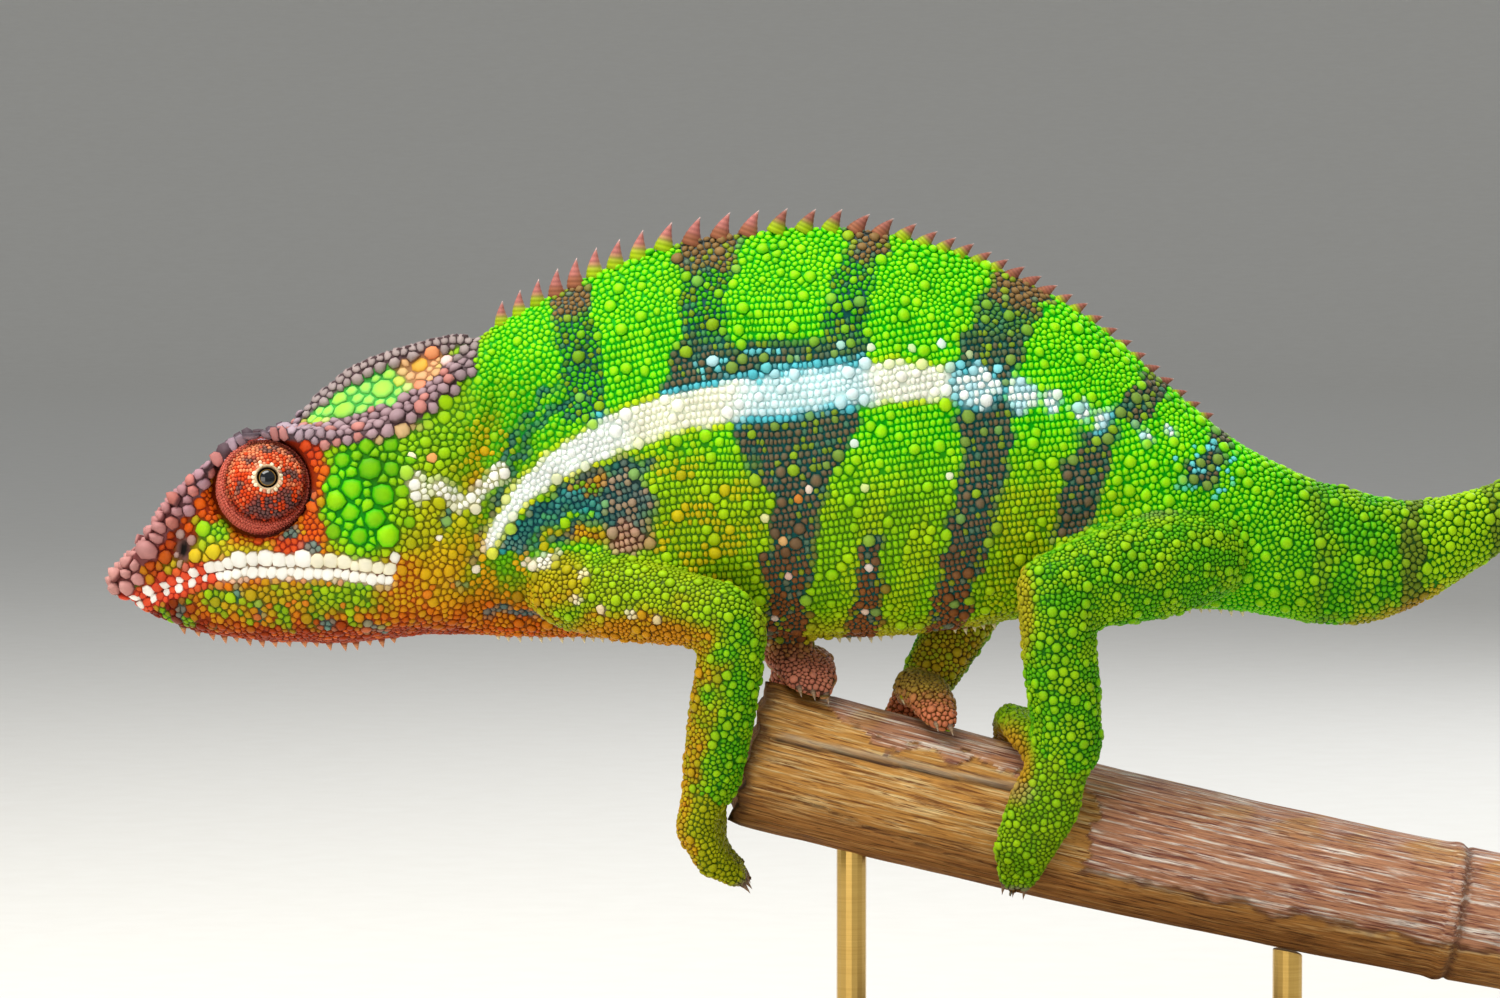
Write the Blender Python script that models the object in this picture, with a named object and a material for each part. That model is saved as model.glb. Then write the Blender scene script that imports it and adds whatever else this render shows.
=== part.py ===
"""Panther chameleon (Furcifer pardalis), adult male, life size, gripping a cut length of cane on a stand.

Body coordinates, in millimetres: along runs from the tip of the snout towards the tail (+X), height is
measured from the line of the belly (+Z), and side is negative on the animal's left (-Y). The empty
"body_datum" scales them to metres and carries them into the row frame, whose origin lies under the middle
of the stand's base.
"""

import math

import bmesh
import bpy
from mathutils import Vector

# ---------------------------- driving dimensions, mm
MM = 0.001
GAP = 0.3  # clearance kept between neighbouring pieces
SHARP_ANGLE = math.radians(45)  # edges sharper than this are shaded as edges
SNOUT_X = -161.3  # tip of the snout in the row frame
BELLY_Z = 82.1  # line of the belly above the floor
HEAD_END = 63.0
NECK_END = 80.0
CHEST_END = 112.0
BELLY_END = 150.0
TRUNK_END = 203.0
TAIL_LENGTH = 170.0  # of the free, rolled stretch beyond the last shaped station

BASE_SIZE = (150.0, 84.0, 10.0)
BASE_CORNER = 20.0
BASE_BEVEL = 1.5
ROD_RADIUS = 2.5
ROD_PLACES = (125.5, 199.0)  # along, in body coordinates

PERCH_START = (108.4, -18.4)  # along and height of the middle of the cut end
PERCH_FALL = (math.radians(14.9), math.radians(11.5))  # the cane is bowed: its slope at the two ends
PERCH_LENGTH = 133.5
PERCH_RADIUS = (12.7, 11.4)  # at the cut end and at the far end
BARK_FROM = 58.5  # the bark is stripped off up to here
BARK_DEPTH = 0.35
CANE_JOINT_AT = 123.2
CANE_JOINT_RISE = 0.5

EYE_AT = (26.6, 25.7, 6.9)  # along, height, side of the turret's middle
EYE_RADIUS = 8.0
EYE_LOOK = (0.05, 0.24, 1.0)  # along, height, outward
EYEBALL_RADIUS = 1.55

# ---------------------------- lines of the head: along, height, side
HEAD_LINES = {
    "crown": [(0.6, 9.6, 0), (5.9, 14.2, 0), (16, 26.7, 0), (26.9, 33.9, 0), (33, 37.2, 0), (39.5, 43.1, 0),
              (46.2, 46.6, 0), (54.6, 49.0, 0), (63, 51.2, 0)],
    "crest": [(0.6, 9.7, 1.5), (5.9, 14.6, 3.2), (16, 27.3, 6.4), (26.9, 34.4, 8.2), (33, 35.2, 9.1),
              (40, 34.3, 10.0), (49.7, 37.0, 9.4), (57.5, 42.3, 6.9), (61.5, 48.2, 3.2), (63, 49.4, 2.8)],
    "temple": [(0.6, 9.6, 1.6), (5.9, 13, 3.5), (16, 22.5, 7.0), (26.9, 29, 8.6), (33, 30, 10.2),
               (44.7, 30.5, 12.2), (54, 31.5, 11.9), (63, 36, 9.6)],
    "cheek": [(0.6, 9.0, 1.5), (5.9, 10.2, 3.5), (16, 16, 8.2), (26.9, 19.5, 10.0), (39.5, 22, 13.0),
              (46, 22.5, 13.8), (54.6, 22.5, 13.0), (63, 22, 11.0)],
    "lip": [(0.6, 8.4, 1.3), (5.9, 7.2, 3.2), (16, 11, 8.0), (26.9, 12.9, 11.4), (39.5, 12.6, 13.5),
            (46, 12.4, 13.9), (54.6, 12.6, 12.8), (63, 12.8, 10.2)],
    "jaw": [(0.6, 8.0, 0.9), (5.9, 5.6, 2.3), (16, 3.0, 6.3), (26.9, 2.0, 9.2), (39.5, 2.2, 10.8),
            (46, 2.9, 10.8), (54.6, 3.8, 9.4), (63, 4.2, 6.6)],
    "throat": [(0.6, 7.8, 0), (5.9, 4.9, 0), (10.9, 2.6, 0), (16, 0.9, 0), (26.9, -0.5, 0), (39.5, -0.9, 0),
               (54.6, 0.5, 0), (63, 0.3, 0)],
}
MOUTH = [(2.0, 5.4), (5.8, 6.6), (11.3, 9.2), (16.3, 11.2), (21.5, 12.3), (25.5, 12.9), (39.5, 12.6),
         (48.4, 12.2)]
JAW_BACK = [(52.0, 9.0), (56.0, -4.0)]
CASQUE_HOLLOW = 0.5  # the casque's roof sags this far between its ridges
CREST_RADIUS = (0.75, 1.45, 1.5, 1.1)  # tube of the bony ridge from the snout to the casque's tip
CROWN_CREST_RADIUS = 1.15

# ---------------------------- trunk: along, ridge, belly, half width, share of the height below the belt
TRUNK = [
    (63, 51.9, 0.3, 10.8, 0.42),
    (73, 57.3, 0.0, 11.2, 0.40),
    (83, 62.3, 0.0, 12.4, 0.38),
    (93, 66.2, -0.3, 13.6, 0.37),
    (103, 68.3, -0.4, 14.4, 0.36),
    (113, 69.4, -0.3, 15.0, 0.36),
    (124, 69.7, 0.0, 15.3, 0.36),
    (134, 68.2, 0.4, 15.2, 0.36),
    (144, 65.2, 1.6, 14.6, 0.37),
    (154, 61.0, 3.2, 13.6, 0.38),
    (164, 55.4, 4.6, 12.2, 0.40),
    (172, 48.9, 5.1, 10.9, 0.43),
    (181, 41.0, 5.1, 9.5, 0.46),
    (189, 34.4, 4.7, 8.6, 0.48),
    (199, 28.9, 3.2, 8.0, 0.50),
    (203, 27.3, 2.4, 7.9, 0.50),
]
RIDGE_KEEL = [(63, 1.15), (83, 1.35), (124, 1.45), (164, 1.3), (189, 1.1), (203, 1.0)]
SPINES = [  # along, pitch, height, foot radius of the spines on the back
    (66.5, 3.0, 1.9, 0.9),
    (80, 3.3, 2.7, 1.1),
    (95, 4.8, 2.7, 1.3),
    (112, 4.7, 2.3, 1.3),
    (128, 4.0, 1.9, 1.2),
    (140, 3.0, 1.6, 1.0),
    (160, 2.6, 1.3, 0.9),
    (186, 2.2, 0.8, 0.8),
]
SPINE_RAKE = 0.25  # how far a spine leans towards the tail, as a share of its height

# ---------------------------- tail: along, height, side, half height, half width
TAIL_ROOT = [
    (203.3, 14.8, 0.0, 12.4, 7.9),
    (208.5, 13.9, 0.3, 12.0, 7.7),
    (214.2, 13.9, 1.0, 10.9, 7.2),
    (221.0, 15.2, 2.2, 8.9, 6.4),
    (227.7, 17.6, 3.6, 7.2, 5.6),
    (234.4, 20.4, 5.0, 5.9, 5.0),
]
TAIL_HEADING = math.radians(23)
TAIL_ROLL_AFTER = 34.0  # length that runs on nearly straight before it rolls up
TAIL_ROLL_RADIUS = (23.0, 4.6)
TAIL_TIP_RADIUS = 0.8
TAIL_RINGS = (4.4, 2.2)  # spacing of the sections at the start and the end of the roll
TAIL_CUTS = (0.0, 0.2, 0.43, 0.68, 1.0)  # shares of the whole tail where it is parted

TOE_FAN = [(0.0, 0.4), (0.4, 1.0), (1.0, 0.65)]  # how far a bundle's toes spread, from its root to the tips
CLAW_LENGTH = 1.5
CLAW_RADII = (0.65, 0.12)

# ---------------------------- materials: colour, roughness, metallic
FINISHES = {
    "skin_green": ((0.18, 0.55, 0.03), 0.45, 0.0),
    "skin_lime": ((0.36, 0.52, 0.03), 0.45, 0.0),
    "skin_orange": ((0.62, 0.20, 0.03), 0.45, 0.0),
    "crest_grey": ((0.36, 0.25, 0.24), 0.5, 0.0),
    "eyelid_red": ((0.50, 0.07, 0.03), 0.45, 0.0),
    "eye_black": ((0.02, 0.02, 0.025), 0.08, 0.0),
    "cane": ((0.42, 0.26, 0.13), 0.6, 0.0),
    "stand_wood": ((0.05, 0.035, 0.03), 0.35, 0.0),
    "stand_brass": ((0.78, 0.57, 0.27), 0.3, 1.0),
}


# ---------------------------- small tools
def material(finish):
    """The named Principled material, made once."""
    found = bpy.data.materials.get(finish)
    if found:
        return found
    colour, roughness, metallic = FINISHES[finish]
    made = bpy.data.materials.new(finish)
    made.use_nodes = True
    shader = made.node_tree.nodes["Principled BSDF"]
    shader.inputs["Base Color"].default_value = (*colour, 1.0)
    shader.inputs["Roughness"].default_value = roughness
    shader.inputs["Metallic"].default_value = metallic
    return made


def smooth(stations, at):
    """The values at one place of a table whose rows start with their place, on a curve with no overshoot."""
    last = len(stations) - 1
    if at <= stations[0][0]:
        return stations[0][1:]
    if at >= stations[last][0]:
        return stations[last][1:]
    i = next(k for k in range(last) if at <= stations[k + 1][0])

    def slope(k, column):
        if k in (0, last):
            a, b = (0, 1) if k == 0 else (last - 1, last)
            return (stations[b][column] - stations[a][column]) / (stations[b][0] - stations[a][0])
        before = (stations[k][column] - stations[k - 1][column]) / (stations[k][0] - stations[k - 1][0])
        after = (stations[k + 1][column] - stations[k][column]) / (stations[k + 1][0] - stations[k][0])
        return 2 * before * after / (before + after) if before * after > 0 else 0.0

    span = stations[i + 1][0] - stations[i][0]
    t = (at - stations[i][0]) / span
    found = []
    for column in range(1, len(stations[0])):
        p0, p1 = stations[i][column], stations[i + 1][column]
        m0, m1 = slope(i, column) * span, slope(i + 1, column) * span
        found.append(
            (2 * t**3 - 3 * t**2 + 1) * p0 + (t**3 - 2 * t**2 + t) * m0
            + (3 * t**2 - 2 * t**3) * p1 + (t**3 - t**2) * m1
        )
    return tuple(found)


def curve_through(points, steps):
    """Points on a Catmull-Rom curve through the given ones, with this many steps to each span."""
    ends = [2 * points[0] - points[1], *points, 2 * points[-1] - points[-2]]
    found = []
    for a, b, c, d in zip(ends, ends[1:], ends[2:], ends[3:]):
        for k in range(steps):
            t = k / steps
            square, cube = 2 * a - 5 * b + 4 * c - d, 3 * b - a - 3 * c + d
            found.append(0.5 * (2 * b + (c - a) * t + square * t * t + cube * t**3))
    return [*found, points[-1]]


def steps_between(start, end, longest):
    """Places from start to end in equal steps no longer than the given one."""
    count = max(1, math.ceil((end - start) / longest))
    return [start + (end - start) * k / count for k in range(count + 1)]


def finished(name, mesh, finish):
    """An object from a closed bmesh, with its faces turned outwards."""
    bmesh.ops.recalc_face_normals(mesh, faces=mesh.faces)
    if mesh.calc_volume(signed=True) < 0:
        bmesh.ops.reverse_faces(mesh, faces=mesh.faces)
    data = bpy.data.meshes.new(name)
    mesh.to_mesh(data)
    mesh.free()
    data.materials.append(material(finish))
    data.shade_smooth()
    made = bpy.data.objects.new(name, data)
    bpy.context.scene.collection.objects.link(made)
    return made


def solid(name, rings, finish):
    """A closed object through rings of equally many points, in body millimetres, with flat ends."""
    mesh = bmesh.new()
    rows = [[mesh.verts.new(point) for point in ring] for ring in rings]
    for near, far in zip(rows, rows[1:]):
        for k in range(len(near)):
            mesh.faces.new((near[k - 1], near[k], far[k], far[k - 1]))
    mesh.faces.new(list(reversed(rows[0])))
    mesh.faces.new(rows[-1])
    return finished(name, mesh, finish)


def combine(target, other, operation):
    """Joins other to target, or cuts it from target, for good, and removes it."""
    change = target.modifiers.new(operation, "BOOLEAN")
    change.operation = operation
    change.object = other
    change.solver = "EXACT"
    bpy.context.view_layer.update()
    graph = bpy.context.evaluated_depsgraph_get()
    made = bpy.data.meshes.new_from_object(target.evaluated_get(graph))
    target.modifiers.clear()
    target.data = made
    bpy.data.objects.remove(other)
    keep_largest(target)
    return target


def keep_largest(target):
    """Drops the crumbs that a cut may leave beside the main piece."""
    mesh = bmesh.new()
    mesh.from_mesh(target.data)
    left, pieces = set(mesh.verts), []
    while left:
        piece, todo = set(), [left.pop()]
        while todo:
            vert = todo.pop()
            piece.add(vert)
            for edge in vert.link_edges:
                other = edge.other_vert(vert)
                if other in left:
                    left.remove(other)
                    todo.append(other)
        pieces.append(piece)
    pieces.sort(key=len)
    for crumb in pieces[:-1]:
        bmesh.ops.delete(mesh, geom=list(crumb), context="VERTS")
    mesh.to_mesh(target.data)
    mesh.free()


def tube_rings(points, radii, around=10, flat=1.0, flat_way=Vector((0, 1, 0))):
    """Rings of a tube along points, one radius each, without twist. flat scales its size along flat_way."""
    rings, u = [], flat_way
    if abs(u.dot((points[1] - points[0]).normalized())) > 0.8:
        u = Vector((1, 0, 0))
    for i, (point, radius) in enumerate(zip(points, radii)):
        ahead = (points[min(i + 1, len(points) - 1)] - points[max(i - 1, 0)]).normalized()
        u = (u - u.dot(ahead) * ahead).normalized()
        w = ahead.cross(u)
        rings.append(
            [
                point + radius * (flat * math.cos(a) * u + math.sin(a) * w)
                for a in (2 * math.pi * k / around for k in range(around))
            ]
        )
    return rings


def rounded(points, radii, around=10, grow=0.0, flat=1.0, flat_way=Vector((0, 1, 0))):
    """Rings of a limb-like tube with domed ends, made larger all over by grow."""
    first = (points[0] - points[1]).normalized()
    last = (points[-1] - points[-2]).normalized()
    route, sizes = list(points), [r + grow for r in radii]
    for turn in (0.6, 1.15):
        route.insert(0, points[0] + first * sizes_at(radii[0] + grow, turn)[0])
        sizes.insert(0, sizes_at(radii[0] + grow, turn)[1])
        route.append(points[-1] + last * sizes_at(radii[-1] + grow, turn)[0])
        sizes.append(sizes_at(radii[-1] + grow, turn)[1])
    return tube_rings(route, sizes, around, flat, flat_way)


def sizes_at(radius, turn):
    """How far a dome reaches and how wide it is at this angle above its rim."""
    return radius * math.sin(turn), radius * math.cos(turn)


# ---------------------------- head
def head_ring(along, grow=0.0):
    """A section of the head: its seven lines on the left in one smooth curve, mirrored to the right."""
    marks = []
    for line in HEAD_LINES.values():
        height, out = smooth(line, along)
        marks.append(Vector((out, height)))
    crown, crest, throat = marks[0], marks[1], marks[-1]
    roof = (crown + crest) / 2 - Vector((0, CASQUE_HOLLOW))
    half = curve_through([crown, roof, *marks[1:]], 2)
    middle = (crown + throat) / 2
    half = [p + (p - middle).normalized() * grow for p in half]
    left = [Vector((along, -p.x, p.y)) for p in half]
    right = [Vector((along, p.x, p.y)) for p in reversed(half[1:-1])]
    return left + right


def head_stations(start, end):
    return steps_between(start, end, 4.2)


def eye_axis(side):
    along, height, outward = EYE_LOOK
    return Vector((along, side * outward, height)).normalized()


def turned(name, profile, centre, axis, around, finish):
    """A closed solid turned about an axis through centre. The profile holds (radius, way along the axis)."""
    u = axis.cross(Vector((0, 0, 1))).normalized()
    w = axis.cross(u)
    rings = [
        [
            centre + axis * way + radius * (math.cos(a) * u + math.sin(a) * w)
            for a in (2 * math.pi * k / around for k in range(around))
        ]
        for radius, way in profile
    ]
    return solid(name, rings, finish)


def eye_centre(side):
    along, height, out = EYE_AT
    return Vector((along, side * out, height))


def socket(side):
    """The round hole in the head that the turret turns in."""
    r = EYE_RADIUS + GAP
    profile = [(0.6 * r, -3.0), (r, -2.2 - GAP), (r, 12.0), (0.6 * r, 12.5)]
    return turned("socket", profile, eye_centre(side), eye_axis(side), 16, "eyelid_red")


def make_eye(side, word):
    """The cone of fused lids, with its small round opening, and the eyeball that shows in it."""
    r = EYE_RADIUS
    out = r * 0.985
    profile = [(0.35 * r, -1.9), (0.985 * r, -2.0), (r, 0.0)]
    profile += [(r * math.cos(t), out * math.sin(t)) for t in (math.radians(d) for d in (24, 46, 66))]
    profile += [(2.05, out * 1.005), (1.85, out * 0.985), (1.8, out * 0.86), (0.5, out * 0.85)]
    lid = turned(f"eyelid_{word}", profile, eye_centre(side), eye_axis(side), 16, "eyelid_red")
    e = EYEBALL_RADIUS
    floor = out * 0.86 + GAP
    dome = [(e * math.cos(t), floor + 0.55 * e + 0.55 * e * math.sin(t)) for t in (0, 0.6, 1.2)]
    ball = turned(f"eye_{word}", [(e * 0.8, floor), *dome], eye_centre(side), eye_axis(side), 12, "eye_black")
    return [lid, ball]


def jaw_block(grow):
    """A block across the head that holds the lower jaw: all under the mouth, forward of the jaw's corner."""
    outline = [*MOUTH, *JAW_BACK, (30.0, -8.0), (-4.0, -8.0), (-4.0, 4.4)]
    middle = Vector((26.0, 2.0))
    points = []
    for along, height in outline:
        p = Vector((along, height))
        points.append(p + Vector((0.0, grow)) if height > middle.y else p)
    points = [p + Vector((grow, 0)) if p.x > 48 else p for p in points]
    rings = [[Vector((p.x, side, p.y)) for p in points] for side in (-25.0, 25.0)]
    return solid("jaw_block", rings, "skin_lime")


def crest_route(side):
    """The bony ridge from the snout over the eye to the tip of the casque."""
    points = [Vector((0.9, side * 1.05, 9.1))]
    for along in [*steps_between(3.5, 51.0, 4.6), 54.5, 57.6, 60.0]:
        height, out = smooth(HEAD_LINES["crest"], along)
        points.append(Vector((along, side * max(out, 1.9), height)))
    return points


def crest_radii(count, grow=0.0):
    table = [(share, radius) for share, radius in zip((0, 0.3, 0.7, 1), CREST_RADIUS)]
    return [smooth(table, k / (count - 1))[0] + grow for k in range(count)]


def lateral_crest(side, name, grow=0.0):
    route = crest_route(side)
    return solid(name, tube_rings(route, crest_radii(len(route), grow), 6), "crest_grey")


def crown_crest(name, grow=0.0):
    """The low ridge along the middle of the casque."""
    route = [Vector((along, 0, smooth(HEAD_LINES["crown"], along)[0] + 0.35))
             for along in steps_between(31.5, 61.5, 5.0)]
    radii = [(CROWN_CREST_RADIUS if 0 < k < len(route) - 1 else 0.8) + grow for k in range(len(route))]
    return solid(name, tube_rings(route, radii, 6), "crest_grey")


def head_mould(grow):
    """The whole head with both jaws, a little larger, to shape the undersides of the crests."""
    stations = (0.8 - grow, *head_stations(0.8, HEAD_END)[1:], 64.0)
    return solid("head_mould", [head_ring(a, grow) for a in stations], "skin_green")


def make_head():
    """Skull with the upper jaw, the lower jaw, three crests and two eyes."""
    head = solid("head", [head_ring(a) for a in head_stations(0.8, HEAD_END)], "skin_green")
    jaw = solid("lower_jaw", [head_ring(a) for a in head_stations(5.4, HEAD_END)], "skin_orange")
    combine(jaw, jaw_block(-GAP / 2), "INTERSECT")
    combine(head, jaw_block(GAP / 2), "DIFFERENCE")
    eyes = []
    for side, word in ((-1, "left"), (1, "right")):
        eyes += make_eye(side, word)
        combine(head, socket(side), "DIFFERENCE")
    crests = [crown_crest("crest_crown")]
    for side, word in ((-1, "left"), (1, "right")):
        crest = lateral_crest(side, f"crest_{word}")
        combine(crest, socket(side), "DIFFERENCE")
        combine(crest, crown_crest("cut", GAP), "DIFFERENCE")
        crests.append(crest)
    for crest in crests:
        combine(crest, head_mould(GAP), "DIFFERENCE")
    return [head, jaw, *crests, *eyes]


# ---------------------------- neck, trunk and tail
def trunk_ring(along, grow=0.0, half_count=8):
    """A section of the trunk: keeled at the back, fullest at the belt, rounder at the belly."""
    ridge, belly, half, belt = smooth(TRUNK, along)
    keel = smooth(RIDGE_KEEL, along)[0]
    waist = belly + belt * (ridge - belly)
    ring = []
    for k in range(2 * half_count):
        turn = math.pi * k / half_count
        up, out = math.cos(turn), math.sin(turn)
        reach = ridge - waist if up > 0 else waist - belly
        power = keel if up > 0 else 1.05
        side = -math.copysign(abs(out) ** power, out) if k % half_count else 0.0
        ring.append(Vector((along, side * (half + grow), waist + up * (reach + grow))))
    return ring


def spine_places(start, end):
    """Where the spines of the back stand between two places: the pitch of each follows the table."""
    along, places = SPINES[0][0], []
    while along < SPINES[-1][0]:
        pitch, _, foot = smooth(SPINES, along)
        if start + foot + 0.2 < along < end - foot - 0.2:
            places.append(along)
        along += pitch
    return places


def spines(start, end):
    """One mesh of separate pointed cones, sunk a little into the ridge, for a union with the trunk."""
    mesh = bmesh.new()
    for along in spine_places(start, end):
        _, tall, foot = smooth(SPINES, along)
        ridge = smooth(TRUNK, along)[0]
        slope = (smooth(TRUNK, along + 1)[0] - smooth(TRUNK, along - 1)[0]) / 2
        ahead = Vector((1, 0, slope)).normalized()
        up = Vector((-ahead.z, 0, ahead.x))
        base = Vector((along, 0, ridge)) - up * 1.2
        apex = mesh.verts.new(base + up * (tall + 1.2) + ahead * SPINE_RAKE * tall)
        wide = foot * (tall + 1.2) / tall
        ring = [mesh.verts.new(base + wide * (math.cos(a) * ahead + 0.8 * math.sin(a) * Vector((0, 1, 0))))
                for a in (2 * math.pi * k / 5 for k in range(5))]
        mesh.faces.new(ring)
        for k in range(5):
            mesh.faces.new((ring[k - 1], ring[k], apex))
    return finished("spines", mesh, "skin_orange")


def trunk_piece(name, start, end, finish):
    piece = solid(name, [trunk_ring(a) for a in steps_between(start, end, 5.4)], finish)
    if spine_places(start, end):
        combine(piece, spines(start, end), "UNION")
    return piece


def trunk_mould(grow):
    """The whole trunk, a little larger, to cut the limbs where they meet it."""
    rings = [trunk_ring(a, grow) for a in steps_between(HEAD_END - 2, TRUNK_END - 1, 8.0)]
    return solid("trunk_mould", rings, "skin_green")


def tail_line():
    """(point, half height, half width) down the tail: its shaped root, then a stretch that rolls up."""
    roots = [Vector(row[:3]) for row in TAIL_ROOT]
    points = [Vector((p.x, p.z, p.y)) for p in curve_through(roots, 2)]
    shares = [k / (len(points) - 1) for k in range(len(points))]
    table = [(k / (len(TAIL_ROOT) - 1), row[3], row[4]) for k, row in enumerate(TAIL_ROOT)]
    line = [(p, *smooth(table, s)) for p, s in zip(points, shares)]
    place, heading, gone, step = points[-1].copy(), TAIL_HEADING, 0.0, 0.5
    high, wide = TAIL_ROOT[-1][3:]
    next_ring = TAIL_RINGS[0]
    since = 0.0
    while gone < TAIL_LENGTH - step / 2:
        if gone < TAIL_ROLL_AFTER:
            bend = (gone / TAIL_ROLL_AFTER) ** 1.5 / TAIL_ROLL_RADIUS[0]
        else:
            share = (gone - TAIL_ROLL_AFTER) / (TAIL_LENGTH - TAIL_ROLL_AFTER)
            bend = 1.0 / (TAIL_ROLL_RADIUS[0] + (TAIL_ROLL_RADIUS[1] - TAIL_ROLL_RADIUS[0]) * share)
        heading -= bend * step
        lean = 0.18 * max(0.0, 1.0 - gone / 60.0)
        place = place + Vector((math.cos(heading), lean, math.sin(heading))) * step
        gone += step
        since += step
        share = gone / TAIL_LENGTH
        if since >= next_ring - 1e-6 or gone >= TAIL_LENGTH - step / 2:
            taper = 1.0 - share
            line.append((place, TAIL_TIP_RADIUS + (high - TAIL_TIP_RADIUS) * taper**0.9,
                         TAIL_TIP_RADIUS + (wide - TAIL_TIP_RADIUS) * taper**0.9))
            next_ring = TAIL_RINGS[0] + (TAIL_RINGS[1] - TAIL_RINGS[0]) * share
            since = 0.0
    return line


def tail_ring(line, i, around=10):
    point, high, wide = line[i]
    ahead = (line[min(i + 1, len(line) - 1)][0] - line[max(i - 1, 0)][0]).normalized()
    if i == 0:
        ahead = Vector((1, 0, 0))
    up = (Vector((0, 1, 0)).cross(ahead) * -1).normalized()
    out = ahead.cross(up).normalized()
    return [point + high * math.cos(a) * up + wide * math.sin(a) * out
            for a in (2 * math.pi * k / around for k in range(around))]


def make_tail():
    line = tail_line()
    names = ("tail_root", "tail_arch", "tail_roll_outer", "tail_roll_inner")
    cuts = [round(share * (len(line) - 1)) for share in TAIL_CUTS]
    pieces = []
    for name, first, last in zip(names, cuts, cuts[1:]):
        rings = [tail_ring(line, i) for i in range(first, last + 1)]
        if first:
            ahead = (line[first + 1][0] - line[first][0]).normalized()
            rings[0] = [p + ahead * GAP for p in rings[0]]
        pieces.append(solid(name, rings, "skin_green"))
    return pieces


def make_trunk():
    pieces = [
        trunk_piece("neck", HEAD_END + GAP, NECK_END, "skin_lime"),
        trunk_piece("chest", NECK_END + GAP, CHEST_END, "skin_lime"),
        trunk_piece("belly", CHEST_END + GAP, BELLY_END, "skin_green"),
        trunk_piece("pelvis", BELLY_END + GAP, TRUNK_END, "skin_green"),
    ]
    return pieces


# ---------------------------- limbs
def bone(name, start, end, radii, grow=0.0, finish="skin_green", flat=0.9):
    """One length of a limb: radii are spread evenly from start to end, and both ends are domed."""
    count = len(radii)
    points = [Vector(start).lerp(Vector(end), k / (count - 1)) for k in range(count)]
    return solid(name, rounded(points, radii, 10, grow, flat), finish)


def digit(route, radii, grow=0.0):
    """A toe along a route, open-ended at its root and domed at its tip."""
    points = [Vector(p) for p in route]
    sizes = [radius + grow for radius in radii]
    ahead = (points[-1] - points[-2]).normalized()
    points += [points[-1] + ahead * sizes[-1] * 0.6, points[-1] + ahead * sizes[-1] * 0.95]
    sizes += [sizes[-1] * 0.8, sizes[-1] * 0.3]
    return solid("digit", tube_rings(points, sizes, 6), "skin_green")


def claw(route, radius):
    """A short claw at the end of a toe."""
    tip = Vector(route[-1])
    ahead = (tip - Vector(route[-2])).normalized()
    points = [tip + ahead * radius * 0.4, tip + ahead * (radius + CLAW_LENGTH) + Vector((0, 0, -0.5))]
    return solid("claw", tube_rings(points, CLAW_RADII, 4, flat_way=Vector((0.3, 0.9, 0.2))), "skin_green")


def lanes(route, toes, spread):
    """The routes of the toes of one bundle, side by side along the vector spread, with staggered roots."""
    found = []
    for k in range(toes):
        lane = []
        for i, p in enumerate(route):
            fan = smooth(TOE_FAN, i / (len(route) - 1))[0]
            lane.append(Vector(p) + Vector(spread) * (k - (toes - 1) / 2) * fan)
        lane[0] += (lane[0] - lane[1]).normalized() * 0.2 * k
        found.append(lane)
    return found


def bundle(name, route, toes, radii, spread):
    """A mitten of two or three toes."""
    first, *others = lanes(route, toes, spread)
    made = digit(first, radii)
    for lane in others:
        combine(made, digit(lane, radii), "UNION")
    for lane in (first, *others):
        combine(made, claw(lane, radii[-1]), "UNION")
    made.name = name
    return made


def limb(word, parts, upper, lower, outer, inner):
    """Upper length, lower length and two toe bundles of one leg, each cut where it meets the one before."""
    thick, thin, outside, inside = (f"{part}_{word}" for part in parts)
    thick, thin = bone(thick, *upper), bone(thin, *lower)
    combine(thick, trunk_mould(GAP), "DIFFERENCE")
    combine(thin, trunk_mould(GAP), "DIFFERENCE")
    combine(thin, bone("cut", *upper, grow=GAP), "DIFFERENCE")
    outside, inside = bundle(outside, *outer), bundle(inside, *inner)
    for toes in (outside, inside):
        combine(toes, bone("cut", *lower, grow=GAP), "DIFFERENCE")
        combine(toes, perch_solid("cut", GAP), "DIFFERENCE")
    route, count, radii, spread = outer
    for lane in lanes(route, count, spread):
        combine(inside, digit(lane, radii, GAP), "DIFFERENCE")
    return [thick, thin, outside, inside]


ARM_PARTS = ("upper_arm", "forearm", "hand_outer", "hand_inner")
LEG_PARTS = ("thigh", "shin", "foot_outer", "foot_inner")

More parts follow.
